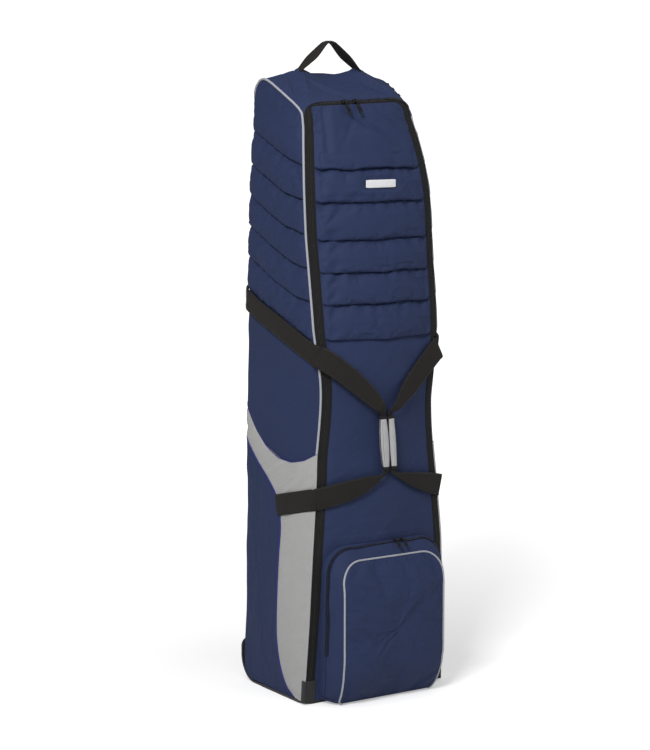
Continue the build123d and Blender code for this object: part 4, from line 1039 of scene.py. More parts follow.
def top_panel():
    runs = np.concatenate([np.linspace(0.0, 0.86, 78),
                           0.86 + 0.14 * np.sin(np.linspace(0.05, 1, 26) * np.pi / 2)])
    spans = np.sin(np.linspace(-1, 1, 121) * np.pi / 2)
    run, span = np.meshgrid(runs, spans, indexing="ij")
    base_z = lookup(run, TOP_CURVE)
    edge = side(run, base_z, 0.0, 1)
    # the leading rows settle onto the zip's outer tape
    lead = clip01(1 - run / 0.10) ** 1.3
    door_x = span * 136.6
    door_z = door_top(door_x) - 5.6
    x = span * edge[..., 0] * (1 - lead) + door_x * lead
    y = edge[..., 1] * (1 - lead) + (front(door_x, door_z)[..., 1] - 2.6) * lead
    uneven = layered_noise(span * 3, run * 3, 5) * 1.3
    uneven = uneven + wrinkle(span * 140, run * 190, 9, 2.0) * 1.0 + top_creases(span, run)
    ease = clip01((1 - np.abs(span)) / 0.08) * clip01(run / 0.05) * clip01((1 - run) / 0.08)
    z = (base_z + top_crown(span, run)) * (1 - lead) + door_z * lead + uneven * ease
    grid = np.stack([x, y, z], -1)
    pins = edge_pins(grid, first=14, last=3)
    pins |= np.hypot(np.abs(x) - HANDLE_FOOT_X, y - HANDLE_Y) < 11.0
    grid = inflate(grid, pins, pressure=-2.0, slack=0.03, bend=0.4, cap=7.0)
    obj = sheet("top_cloth", grid, "navy_polyester", 2.2, lined=True)
    place(obj, "case_body", "navy_polyester", "top_panel")


top_panel()

# ---------------------------------------------------------------- long zip
COIL_INSET, TAPE_WIDTH = 12.5, 9.4          # coil in from the edge, width of each tape
COIL_HALF = 0.9                             # each tape starts this far from the coil
TOOTH_OFFSET = 1.25
DOOR_INSET = COIL_INSET + TAPE_WIDTH - 1.6  # the door cloth tucks under the tape
ZIP_Z0, TEETH_Z0 = 52.0, 54.0
FOLD_LO, FOLD_HI = FOLD_Z - 12.0, FOLD_Z + 16.0
ZIP_LEVELS = ((-0.2, 1.6, 0.6), (0.55, 1.6, 0.6), (1.0, 1.2, 0.33))


def coil_z(x):
    return 1260.1 + 0.034 * (np.asarray(x, float) + 37.0)


def zip_line(offset, z0):
    """(x, z) line: up the left leg, across the top and down the right, offset outward."""
    parts = []
    for sign, radius in ((-1, 15.0), (1, 34.0)):
        bend_z = float(coil_z(sign * 100.0)) - radius
        bend_x = half_front(bend_z) - COIL_INSET - radius
        z = np.linspace(z0, bend_z, 170, endpoint=False)
        top = float(coil_z(sign * bend_x))
        leg_z = z0 + (z - z0) * (top - radius - z0) / (bend_z - z0)
        leg = np.stack([sign * (half_front(z) - COIL_INSET), leg_z], -1)
        angle = np.radians(np.linspace(0, 90, 16))
        bend = np.stack([sign * (bend_x + radius * np.cos(angle)),
                         (top - radius) + radius * np.sin(angle)], -1)
        parts.append((leg, bend, sign * bend_x))
    (left_leg, left_bend, left_x), (right_leg, right_bend, right_x) = parts
    x = np.linspace(left_x, right_x, 62)[1:-1]
    line = np.vstack([left_leg, left_bend, np.stack([x, coil_z(x)], -1),
                      right_bend[::-1], right_leg[::-1]])
    along = tangents(line)
    normal = np.stack([-along[:, 1], along[:, 0]], -1)
    if offset > 5.0:
        # the outer edge narrows across the top
        offset = offset - (offset - 5.0) * clip01((line[:, 1:2] - 1236.0) / 14.0)
    line = line + normal * offset
    line[0, 1] = line[-1, 1] = z0
    return line


def zip_tape(name, outer, inner, z0, body, node):
    first, last = zip_line(outer, z0), zip_line(inner, z0)
    step = np.linspace(0, 1, 7)[None, :, None]
    grid = first[:, None] * (1 - step) + last[:, None] * step
    grid = front(grid[..., 0], grid[..., 1], 0.9 + 0.6 * np.sin(np.pi * step[..., 0]))
    place(sheet(name, grid, "black_zip", 1.0), body, "black_zip", node)


def zip_teeth(name, line, phase):
    """One half of the coil: small rounded loops along an (x, z) line."""
    pitch = 3.0
    path = front(line[:, 0], line[:, 1], 0.5)
    distance = arc_length(path)
    at = (np.arange(int(distance[-1] / pitch)) + phase) * pitch
    at = at[at < distance[-1] - 1]
    along = unit(sample(path, distance, at + 0.7) - sample(path, distance, at - 0.7))
    out = square_to(np.array([0, -1.0, 0]), along)
    return teeth_obj(name, sample(path, distance, at), np.cross(along, out), along, out,
                     ZIP_LEVELS)


def leg_tapes(sign, tag):
    """Inner tapes below the flap, and the short stretch across the fold."""
    inset = np.linspace(COIL_INSET + COIL_HALF, COIL_INSET + TAPE_WIDTH, 7)
    for low, high, kind, count in ((ZIP_Z0, FOLD_LO, "lower", 60),
                                   (FOLD_LO, FOLD_HI, "fold", 18)):
        z, into = np.meshgrid(np.linspace(low, high, count), inset, indexing="ij")
        lift = 0.9 + 0.5 * np.sin(np.pi * (into - inset[0]) / (inset[-1] - inset[0]))
        grid = front(sign * (half_front(z) - into), z, lift)
        tape = sheet(f"main_zip_tape_{kind}_{tag}", grid, "black_zip", 1.0, flip=sign > 0)
        if kind == "lower":
            nodes = ["main_zip_lower_half"] if sign < 0 else []
            place(tape, "case_body", "black_zip", *nodes)
        else:
            blend_at_fold(tape)


def mirrored(obj, name):
    """Copy of a piece on the other side of x = 0."""
    mesh = obj.data.copy()
    coords = np.zeros(len(mesh.vertices) * 3, np.float32)
    mesh.vertices.foreach_get("co", coords)
    coords[::3] *= -1
    mesh.vertices.foreach_set("co", coords)
    mesh.flip_normals()
    mesh.update()
    return link(bpy.data.objects.new(name, mesh))


zip_tape("main_zip_tape_body", TAPE_WIDTH, COIL_HALF, ZIP_Z0, "case_body",
         "main_zip_body_half")
teeth = zip_teeth("main_zip_teeth_body", zip_line(TOOTH_OFFSET, TEETH_Z0), phase=0.25)
place(teeth, "case_body", "black_zip")
zip_tape("main_zip_tape_flap", -COIL_HALF, -TAPE_WIDTH, FOLD_HI, "front_flap",
         "main_zip_flap_half")
teeth = zip_teeth("main_zip_teeth_flap", zip_line(-TOOTH_OFFSET, FOLD_Z + 2.0), phase=0.75)
place(teeth, "front_flap", "black_zip")
for sign, tag in SIDES:
    leg_tapes(sign, tag)
leg_z = np.linspace(TEETH_Z0, FOLD_Z - 1.0, 90)
leg_line = np.stack([-(half_front(leg_z) - COIL_INSET - TOOTH_OFFSET), leg_z], -1)
left_teeth = zip_teeth("main_zip_teeth_lower_left", leg_line, phase=0.75)
right_teeth = mirrored(left_teeth, "main_zip_teeth_lower_right")
place(left_teeth, "case_body", "black_zip")
place(right_teeth, "case_body", "black_zip")

# ---------------------------------------------------------------- front flap
FLAP_TUCKS = [1127.0, 1058.0, 980.0, 913.0, 848.0, 775.0]
FLAP_SPAN = np.linspace(-1, 1, 96)
FLAP_EASE = smoothstep(clip01((1 - np.abs(FLAP_SPAN)) / 0.09))     # 0 at both edges
LABEL_X, LABEL_Z = 12.0, 1092.0


def level_row(z):
    return np.stack([FLAP_SPAN * (half_front(z) - DOOR_INSET),
                     np.full(len(FLAP_SPAN), z)], -1)


def flap_top_line(z0):
    """Rounded top edge of the flap, from z0 on the left over to z0 on the right."""
    line = zip_line(COIL_INSET - DOOR_INSET, 1120.0)
    line = line[line[:, 1] >= z0 + 0.5]
    line[:, 1] += 2.6 * clip01((line[:, 1] - 1236.0) / 12.0)
    x = half_front(z0) - DOOR_INSET
    return resample(np.vstack([[[-x, z0]], line, [[x, z0]]]), len(FLAP_SPAN))


def flap_rows():
    """(line, kind, value) rows from the top edge down to the fold.

    The value is the ease at the top, the fall over a lip or tuck and z on the plain part.
    A tuck's kind is its number.
    """
    level, lip_height = 1196.0, 26.0
    top, base = flap_top_line(level + 4), level_row(level)
    rows = []
    for step in np.linspace(0, 1, 26)[:-1]:
        rows.append((top * (1 - step) + base * step, "top", np.minimum(step / 0.25, 1.0)))
    for z in np.linspace(level, FLAP_TUCKS[0] + lip_height, 16)[:-1]:
        rows.append((level_row(z), "top", 1.0))
    # last stretch above the first tuck folds over it
    for fall in np.linspace(0.42, 1, 16):
        z = FLAP_TUCKS[0] + lip_height * (1 - (fall - 0.42) / 0.58)
        rows.append((level_row(z), "lip", fall))
    for i in range(5):
        for fall in tuck_steps(30)[1:]:
            z = FLAP_TUCKS[i] + (FLAP_TUCKS[i + 1] - FLAP_TUCKS[i]) * fall
            rows.append((level_row(z), i + 1, fall))
    plain = [*np.linspace(FLAP_TUCKS[5] - 1.0, 640.0, 40),
             *np.linspace(640.0, FOLD_HI, 60)[1:]]
    return rows + [(level_row(z), "plain", z) for z in plain]


def flap_cloud(x, z):
    return layered_noise(x / 80.0, z / 90.0, 11) * 1.4 * FLAP_EASE


def plain_offset(x, z, drape=1.0):
    """Unpleated front cloth: creases and gentle upright drape folds."""
    crease = wrinkle(x * 0.8 + (FLAP_TUCKS[5] - z) * 0.5, z - x * 0.5, 2) * 0.8
    folds = 1.6 * np.sin(x / 21.0 + 0.8 * np.sin(z / 60.0)) * bell(z - 560, 120.0) * drape
    return flap_cloud(x, z) + (crease + folds) * FLAP_EASE


def flap_top_offset(x, z, ease):
    """Swell above the first tuck, with slanting creases."""
    slant = (x - 20) * 0.55 + (z - 1205) * 0.83
    crease = -6.5 * bell(slant, 7.0) * bell(x - 30, 55.0)
    crease += 4.2 * bell(slant + 14, 9.0) * bell(x - 34, 60.0)
    crease -= 3.2 * bell((x - 62) * 0.62 + (z - 1225) * 0.78, 5.0) * bell(x - 70, 35.0)
    crease -= 3.4 * bell((x + 96) * 0.95 - (z - 1190) * 0.12, 7.0)
    crease += 1.6 * bell((x + 80) * 0.95 - (z - 1190) * 0.12, 8.0)
    crease -= 2.6 * bell((x + 30) * 0.80 - (z - 1215) * 0.60, 6.0) * bell(z - 1205, 28.0)
    out = (flap_cloud(x, z) + (crease + 2.4) * FLAP_EASE) * ease
    return out + (0.5 + 1.9 * clip01((z - 1234) / 12.0)) * (1 - ease)


def flap_tuck_offset(x, z, tuck, fall, fold):
    """Face of one tuck, with puckers fanning out of its sewn ends."""
    crease = wrinkle(x, z * 1.2 + tuck * 37, 14, 2.5) * 1.3
    crease = crease + noise(x / 17.0, z / 50.0 + tuck * 5, 3) * 1.6 * bell(fall, 0.35)
    out = fold + 1.2 + crease
    for sign, size in ((-1, 1.0), (1, 0.6)):
        away = (1 - sign * FLAP_SPAN) * 130.0
        out = out + (size * 3.2 * np.sin(away / 7.5 - sign * fall * 3.0 + tuck * 1.3)
                     * bell(away - 24, 17.0) * bell(fall - 0.16, 0.22))
        out = out + (size * 2.6 * np.cos(away / 9.0 + fall * 4.0 + tuck)
                     * bell(away - 26, 18.0) * bell(fall - 0.82, 0.14))
    return flap_cloud(x, z) + out * FLAP_EASE


def flap_grid(rows):
    grid = []
    for line, kind, value in rows:
        x, z = line[:, 0], line[:, 1]
        drop = 0.0
        # tuck lines wander a little and sag in the middle
        wander = 2.4 * noise(x / 55.0 + 3, z / 300.0, 13) - 2.0 * (1 - FLAP_SPAN ** 2)
        if kind == "top":
            out = flap_top_offset(x, z, value)
        elif kind == "plain":
            near = bell(FLAP_TUCKS[5] - value, 16.0)
            out = plain_offset(x, z) - 5.0 * near * FLAP_EASE
            z = z + wander * near
        else:
            fold, droop = pleat_shape(np.full_like(x, value))
            drop = droop * FLAP_EASE
            if kind == "lip":
                rest, _ = pleat_shape(np.full_like(x, 0.42))
                out = flap_cloud(x, z) + (2.4 + fold - rest) * FLAP_EASE
                z = z + wander * (value - 0.42) / 0.58
            else:
                out = flap_tuck_offset(x, z, kind, value, fold)
                z = z + wander
        grid.append(front(x, z - drop, out))
    return np.array(grid)


def front_flap():
    """Makes the flap and returns its settled grid."""
    rows = flap_rows()
    grid = flap_grid(rows)
    # only the rows above the plain part are filled out, held along each tuck
    count = next(i for i, row in enumerate(rows) if row[1] == "plain")
    pleats = grid[:count]
    sewn = np.array([kind != "top" and (value < 0.045 or value > 0.985)
                     for _, kind, value in rows[:count]])
    pins = edge_pins(pleats, first=2, last=2) | sewn[:, None]
    x, z = pleats[..., 0], pleats[..., 2]
    # kept clear under the zip pulls, and flat behind the label
    mask = 1 - bell(x + 22.0, 34.0, 4) * clip01((z - 1190.0) / 14.0)
    mask = mask * (1 - bell(x - LABEL_X, 48.0, 8) * bell(z - LABEL_Z, 16.0, 8))
    grid[:count] = inflate(pleats, pins, pressure=2.5, slack=0.03, bend=0.35, cap=4.0,
                           flip=True, mask=mask)
    flap = sheet("front_flap_cloth", grid, "navy_pleated", 2.2, flip=True, lined=True)
    place(flap, "front_flap", "navy_pleated", "flap_pleated_panel", "flap_plain_panel")
    return grid


def plain_front(top, bottom, count):
    rows = [level_row(z) for z in np.linspace(top, bottom, count)]
    return np.array([front(x, z, plain_offset(x, z, drape=0.6))
                     for x, z in (row.T for row in rows)])


def label(flap):
    """Blank woven label, lying on the foremost cloth behind it."""
    points = flap.reshape(-1, 3)

    def cloth_y(x, z):
        near = (np.abs(points[:, 0] - x) < 6) & (np.abs(points[:, 2] - z) < 5)
        return points[near, 1].min()

    across, up = np.meshgrid(np.linspace(-1, 1, 40), np.linspace(1, -1, 12))
    x = LABEL_X + across * 38.0
    z = LABEL_Z + up * 8.2 * (1 - 0.10 * np.abs(across) ** 12)
    cloth = np.array([min(cloth_y(at, LABEL_Z + dz) for dz in (-8, -4, 0, 4, 8))
                      for at in x[0]])
    base = np.polyval(np.polyfit(x[0], cloth, 2), x[0])
    base = base - max(0.0, (base - cloth).max())
    y = base - 0.9 - 0.7 * (1 - np.abs(up) ** 4) * (1 - np.abs(across) ** 8)
    obj = sheet("label_blank", np.stack([x, y, z], -1), "label_vinyl", 1.2, flip=True)
    place(obj, "front_flap", "label_vinyl", "label_patch")


flap_points = front_flap()
fold_cloth = sheet("flap_fold_cloth", plain_front(FOLD_HI + 0.2, FOLD_LO - 0.2, 24),
                   "navy_polyester", 1.8, flip=True, lined=True)
blend_at_fold(fold_cloth)
lower_cloth = sheet("lower_front_cloth", plain_front(FOLD_LO, SIDE_Z0, 80),
                    "navy_polyester", 2.2, flip=True, lined=True)
place(lower_cloth, "case_body", "navy_polyester", "lower_front_panel")
label(flap_points)

# ---------------------------------------------------------------- shoe pocket
# z, y of the pocket face before the shift
FACE_PROFILE = np.array([(3, -58), (15, -69), (30, -78), (60, -89), (100, -95), (250, -95),
                         (290, -88), (312, -80)], float)
FACE_LEVELS = np.arange(0, 330, 3.0)
FACE_DEPTHS = blur(lookup(FACE_LEVELS, FACE_PROFILE), 11, mode="edge")
FACE_TOP, FACE_BOTTOM, FACE_CENTRE_Z = 312.0, 3.6, 165.0
ZIP_DEPTH = 0.40            # depth of the pocket zip, 0 at the rear seam, 1 at the face
COIL_GAP, TAPE_REACH = 0.012, 0.085


def pocket_face_y(z):
    return np.interp(z, FACE_LEVELS, FACE_DEPTHS) - Y_SHIFT


def outline(half, top, radius, bottom, taper):
    """Closed (x, z) loop from bottom centre, up the left, over the top and down the right."""
    foot = np.stack([-half * taper * np.linspace(0, 0.93, 20), np.full(20, bottom)], -1)
    z = np.linspace(bottom + 14.0, top - radius, 60)
    rise = clip01((z - bottom) / 90.0)
    leg = np.stack([-half * (taper + (1 - taper) * np.sin(rise * np.pi / 2)), z], -1)
    corner = [[-half * taper * 0.99, bottom + 5.0]]
    corner = spline(np.vstack([foot[-2:], corner, leg[:2]]), 14)[3:-3]
    angle = np.radians(np.linspace(0, 90, 24))[1:]
    bend = np.stack([-(half - radius + radius * np.cos(angle)),
                     top - radius + radius * np.sin(angle)], -1)
    x = -np.linspace(half - radius, 0, 40)[1:]
    left = np.vstack([foot, corner, leg, bend, np.stack([x, np.full(39, top)], -1)])
    return np.vstack([left, (left * [-1, 1])[::-1][1:-1]])


REAR_LOOP = outline(146.0, 341.0, 56.0, 7.6, 0.985)
FACE_LOOP = outline(127.0, FACE_TOP, 48.0, FACE_BOTTOM, 0.95)
ZIP_SPAN = np.where(FACE_LOOP[:, 1] > 104.0)[0]


def gusset(depth, lift=0.0):
    """Ring of points between the rear seam and the face seam, and its (x, z) normals."""
    rear_y = front(REAR_LOOP[:, 0], REAR_LOOP[:, 1])[:, 1] - 1.2
    rear = np.stack([REAR_LOOP[:, 0], rear_y, REAR_LOOP[:, 1]], -1)
    face = np.stack([FACE_LOOP[:, 0], pocket_face_y(FACE_LOOP[:, 1]), FACE_LOOP[:, 1]], -1)
    ring = rear + (face - rear) * depth
    along = np.roll(FACE_LOOP, -1, 0) - np.roll(FACE_LOOP, 1, 0)
    normal = unit(np.stack([-along[:, 1], along[:, 0]], -1))
    facing = np.sign(normal[:, 0] * FACE_LOOP[:, 0] + normal[:, 1] * (FACE_LOOP[:, 1] - 150))
    normal = normal * np.where(facing == 0, 1, facing)[:, None]
    swell = 7.0 * np.sin(np.pi * depth) * np.where(REAR_LOOP[:, 1] < 20, 0.25, 1.0)
    arc = arc_length(FACE_LOOP)
    crease = wrinkle(arc * 0.5, depth * 60.0, 7) * 1.6
    crease = (crease + noise(arc / 42.0, depth * 2.0, 6) * 1.9) * np.sin(np.pi * depth)
    out = swell + crease + lift
    ring[:, 0] += normal[:, 0] * out
    ring[:, 2] = np.maximum(ring[:, 2] + normal[:, 1] * out, 2.4)
    return ring, normal


def gusset_grid(first, last, count, lift=0.0):
    return np.array([gusset(depth, lift)[0] for depth in np.linspace(first, last, count)])


def pocket_face():
    """Rings shrinking to the middle, which keep the corner radius."""
    centre = np.array([0.0, FACE_CENTRE_Z])
    rings = []
    for scale in np.concatenate([np.linspace(1, 0.9, 10), np.linspace(0.9, 0.06, 46)[1:]]):
        x, z = (centre + (FACE_LOOP - centre) * scale).T
        inward = 1 - scale
        swell = 12.0 * clip01(inward / 0.55) ** 0.8
        uneven = layered_noise(x / 70.0, z / 60.0, 12) * 2.2
        uneven = uneven + wrinkle(x, z + 0.25 * x, 10, 3.5) * 1.5
        uneven = uneven + 2.4 * bell(z - 128 - 0.1 * x, 9.0) * bell(x + 50, 45.0)
        y = pocket_face_y(np.clip(z, FACE_BOTTOM, FACE_TOP)) - swell
        rings.append(np.stack([x, y - uneven * clip01(inward / 0.12), z], -1))
    grid = np.array(rings)
    pins = np.zeros(grid.shape[:2], bool)
    pins[:2] = True
    grid = inflate(grid, pins, pressure=1.2, slack=0.02, bend=0.8, cap=5.0, closed=True,
                   flip=True)
    grid[..., 2] = np.maximum(grid[..., 2], 2.6)
    count, around = grid.shape[:2]
    middle = [[0, grid[-1, :, 1].mean() - 0.1, FACE_CENTRE_Z]]
    verts = np.vstack([grid.reshape(-1, 3), middle])
    total, inner = count * around, (count - 1) * around
    faces = grid_faces(count, around, closed=True, flip=True)
    faces += [[total, inner + (j + 1) % around, inner + j] for j in range(around)]
    obj = mesh_obj("pocket_face_cloth", verts, faces, "navy_polyester", verts[:, [0, 2]])
    thicken(obj, 1.8)
    place(obj, "pocket_flap", "navy_polyester", "pocket_face")


def pocket_piping():
    """Light cord round the pocket's face, open along the bottom."""
    x, z = FACE_LOOP.T
    path = np.stack([x, pocket_face_y(z) - 0.7, z], -1)
    kept = np.where((z > 4.2) | (np.abs(x) > 112.0))[0]
    path = resample(path[kept[0]:kept[-1] + 1], 330)
    obj = cord("pocket_piping_cord", path, 2.1, "silver_piping")
    place(obj, "pocket_flap", "silver_piping", "pocket_piping")


def pocket_teeth(tag, depth, body, phase):
    pitch = 2.8
    path, normal = gusset(depth, lift=1.4)
    path, normal = path[ZIP_SPAN], normal[ZIP_SPAN]
    normal = np.stack([normal[:, 0], np.zeros(len(normal)), normal[:, 1]], -1)
    distance = arc_length(path)
    at = (np.arange(int(distance[-1] / pitch)) + phase) * pitch
    centres = sample(path, distance, at)
    out = sample(normal, distance, at)
    along = unit(sample(path, distance, at + 0.8) - centres + 1e-9)
    teeth = teeth_obj(f"pocket_zip_teeth_{tag}", centres, unit(np.cross(along, out)), along,
                      out, levels=((-0.3, 1.5, 0.55), (0.5, 1.5, 0.55), (0.9, 0.9, 0.33)))
    place(teeth, body, "black_zip")


POCKET_HALVES = (("rear", "case_body", -1), ("front", "pocket_flap", 1))
for tag, body, first, last, count in (
        ("rear", "case_body", 0.0, ZIP_DEPTH - COIL_GAP, 18),
        ("front", "pocket_flap", ZIP_DEPTH + COIL_GAP, 1.0, 26)):
    obj = sheet(f"pocket_gusset_{tag}_cloth", gusset_grid(first, last, count),
                "navy_polyester", 1.6, flip=True, closed=True)
    place(obj, body, "navy_polyester", f"pocket_gusset_{tag}")
pocket_face()
pocket_piping()
for tag, body, way in POCKET_HALVES:
    first, last = sorted((ZIP_DEPTH + way * TAPE_REACH, ZIP_DEPTH + way * 0.014))
    tape = gusset_grid(first, last, 5, lift=1.0)[:, ZIP_SPAN]
    obj = sheet(f"pocket_zip_tape_{tag}", tape, "navy_dark", 0.8, flip=True)
    place(obj, body, "black_zip", f"pocket_zip_{tag}_half")
for tag, body, way in POCKET_HALVES:
    pocket_teeth(tag, ZIP_DEPTH + way * COIL_GAP, body, phase=0.5 + way * 0.25)

# ---------------------------------------------------------------- webbing on the sides
STRAP_HALF = 23.0
# (run, z) stations of each strap, and its rise where it turns onto the front
SIDE_STRAPS = (
    ([(0.0, 741.0), (0.2, 766.0), (0.46, 795.0), (0.75, 821.0), (0.992, 847.0)], -6.5),
    ([(0.0, 440.0), (0.2, 427.5), (0.462, 411.0)], 1.6))


def wrap_strap(points, rise):
    """Offset, bend radius, front reach, splined (run, z) line and rise of a strap."""
    out, radius, front_reach = 4.6, 6.5, 8.0
    return out, radius, front_reach, side_spline(points, 90), rise


def strap_path(points, rise, sign):
    """Centre, width, normal and direction of a strap that bends round onto the front."""
    out, radius, front_reach = 4.6, 6.5, 8.0
    line = side_spline(points, 90)
    if line[0, 0] < line[-1, 0]:
        line = line[::-1]
    run, z = line.T
    centre = side(run, z, out, sign)
    normal = unit(side(run, z, 10.0, sign) - side(run, z, 0.0, sign))
    end_z = z[-1]
    keep = centre[:, 1] > edge_y(end_z) + 5.0
    centre, normal = centre[keep], normal[keep]
    angle = np.radians(np.linspace(0, 90, 9))
    x, y = half_front(end_z) + out - radius, edge_y(end_z) + 2.5
    bend_z = np.linspace(centre[-1, 2], end_z + rise * 0.35, 9)
    bend = np.stack([sign * (x + radius * np.cos(angle)),
                     y - (radius + 0.4) * np.sin(angle), bend_z], -1)
    bend_normal = np.stack([sign * np.cos(angle), -np.sin(angle), 0 * angle], -1)
    front_x = np.linspace(x - 2.0, half_front(end_z) - front_reach, 8)
    front_z = np.linspace(end_z + rise * 0.45, end_z + rise, 8)
    front_y = front(np.minimum(front_x, half_front(front_z)), front_z)[:, 1] - out + 1.0
    flat = np.stack([sign * front_x, np.minimum(front_y, y - radius - 0.5), front_z], -1)
    centre = np.vstack([centre, bend, flat])
    normal = np.vstack([normal, bend_normal, np.tile([0, -1.0, 0], (8, 1))])
    even = resample(np.hstack([centre, normal * 20.0]), 130)
    centre, normal = even[:, :3], unit(even[:, 3:])
    along = tangents(centre, passes=2)
    return centre, unit(np.cross(along, normal)), normal, along


del wrap_strap


def side_webbing(sign, tag):
    pieces = []
    for points, rise in SIDE_STRAPS:
        centre, width, normal, along = strap_path(points, rise, sign)
        pieces.append(webbing(centre, width, normal, STRAP_HALF, 2.6))
        sewn = slice(2, -14)
        pieces += edge_seams(centre[sewn], width[sewn], normal[sewn], STRAP_HALF - 3.2)
        # box stitch near the rear end, closed along one side twice
        box = [centre[9] + width[9] * i * 16 + along[9] * j * 12 + normal[9] * 1.3
               for i, j in ((-1, -1), (1, -1), (1, 1), (-1, 1), (-1, -1), (1, 1))]
        pieces.append(stitches(resample(box, 60), normal[9], pitch=3.6, length=2.5))
    obj = join(f"side_webbing_{tag}", pieces)
    place(obj, "case_body", "black_webbing", f"side_straps_{tag}")


for sign, tag in SIDES:
    side_webbing(sign, tag)

# ---------------------------------------------------------------- carry straps and grips
GRIP_TOP, GRIP_BOTTOM, GRIP_Y = 607.0, 497.0, -66.0 - Y_SHIFT
GRIP_MIDDLE = (GRIP_TOP + GRIP_BOTTOM) / 2
UPPER_Z, LOWER_Z = 738.0, 441.0             # where the straps leave the front edge
# upper run: share of the edge's x, added x, rise, forward offset, width direction, half width
UPPER_RUN = (
    (1.0, 4.5, 2.0, 6.6, (0.50, 0.0, -0.86), 23.6),
    (1.0, -8.0, -4.0, 8.6, (0.52, 0.0, -0.85), 23.6),
    (0.80, 0.0, -19.0, 8.8, (0.55, 0.0, -0.84), 23.4),
    (0.61, 0.0, -42.0, 9.5, (0.58, 0.0, -0.81), 22.6),
    (0.42, 0.0, -67.0, 11.5, (0.60, 0.0, -0.80), 21.0),
    (0.26, 0.0, -90.0, 15.0, (0.64, 0.12, -0.76), 17.5),
    (0.14, 0.0, -110.0, 19.0, (0.74, 0.28, -0.62), 12.0))
# in the grip: z of the grip's x, added x, added y, z, width direction, half width
GRIP_RUN = (
    (GRIP_TOP, 0.0, 1.0, GRIP_TOP + 7.0, (0.95, 0.30, -0.2), 7.6),
    (GRIP_TOP - 12, 0.0, 0.0, GRIP_TOP - 12.0, (1.0, 0.05, 0.0), 6.4),
    (GRIP_MIDDLE, 0.0, 0.0, GRIP_MIDDLE, (1.0, 0.0, 0.0), 6.2),
    (GRIP_BOTTOM + 12, 0.0, 0.0, GRIP_BOTTOM + 12.0, (1.0, 0.05, 0.0), 6.4),
    (GRIP_BOTTOM, 0.5, 1.0, GRIP_BOTTOM - 7.0, (0.95, -0.30, 0.30), 7.6))
LOWER_STEPS = (0.05, 0.16, 0.32, 0.52, 0.74, 0.92, 1.0)
LOWER_HALVES = {-1: (5.0, 11.5, 18.0, 21.8, 23.2, 23.6, 23.6),
                1: (5.0, 8.5, 13.5, 18.5, 22.0, 23.4, 23.6)}


def grip_x(sign, z):
    """Each grip's centre line leans a little to +x going down."""
    return sign * 10.0 + 2.0 + 0.075 * (GRIP_MIDDLE - z)


def carry_stations(sign):
    """Rows of centre, width direction and half width; x is mirrored by the sign."""
    def cloth_y(x, z):
        return front(min(x, half_front(z)), z)[1]

    rows = []
    edge_x = half_front(UPPER_Z) - 1.0
    for share, add, rise, off, width, half in UPPER_RUN:
        x, z = edge_x * share + add, UPPER_Z + rise
        rows.append((x, cloth_y(x, z) - off, z, *width, half))
    for x_z, add, back, z, width, half in GRIP_RUN:
        rows.append((sign * grip_x(sign, x_z) + add, GRIP_Y + back, z, *width, half))
    grip_end = sign * grip_x(sign, GRIP_BOTTOM)
    edge_x = half_front(LOWER_Z) - 1.0
    top = GRIP_BOTTOM - 10.0
    for step, half in zip(LOWER_STEPS, LOWER_HALVES[sign]):
        x = grip_end + (edge_x + 4.5 - grip_end) * step
        z = top + (LOWER_Z - top) * (step ** (0.70 if sign < 0 else 0.80))
        cloth = cloth_y(x, z) - 7.6
        leave = (1 - step) ** 1.6
        y = min(cloth, (GRIP_Y + 1.0) * leave + cloth * (1 - leave))
        turn = (1 - step) ** 3
        rows.append((x, y, z, 0.85 * turn + 0.10, -0.25 * turn, 1.0 - 0.35 * turn, half))
    return np.array(rows, float) * [sign, 1, 1, sign, 1, 1, 1]


def carry_strap(sign, tag):
    stations = carry_stations(sign)
    # width directions keep turning the same way round, so the strap never flips over
    stations[:, 3:6] = steady(unit(stations[:, 3:6])) * 12.0
    even = spline(stations, 280)
    centre, half = even[:, :3], even[:, 6]
    along = tangents(centre, passes=3)
    width = square_to(unit(even[:, 3:6]), along)
    normal = np.cross(along, width)
    normal = steady(normal * np.where(normal[:, 1:2] > 0, -1, 1))
    pieces = [webbing(centre, width, normal, half, 2.5)]
    for sewn in (slice(3, 100), slice(190, 277)):
        pieces += edge_seams(centre[sewn], width[sewn], normal[sewn],
                             (half[sewn] - 3.0)[:, None])
    obj = join(f"carry_webbing_{tag}", pieces)
    place(obj, f"{tag}_carry_handle", "black_webbing", f"carry_strap_{tag}")


def grip_tube(sign, z, wide, deep, material):
    """Tube with a rounded-square section round the grip's centre line."""
    angle = np.linspace(0, 2 * np.pi, 32, endpoint=False)
    cosine, sine = np.cos(angle), np.sin(angle)
    x = (np.sign(cosine) * np.abs(cosine) ** 0.7)[None] * wide[:, None]
    y = (np.sign(sine) * np.abs(sine) ** 0.85)[None] * deep[:, None]
    rings = np.stack([grip_x(sign, z)[:, None] + x, GRIP_Y + y,
                      np.broadcast_to(z[:, None], x.shape)], -1)
    return tube_obj("grip", rings, angle * 8, z, material)


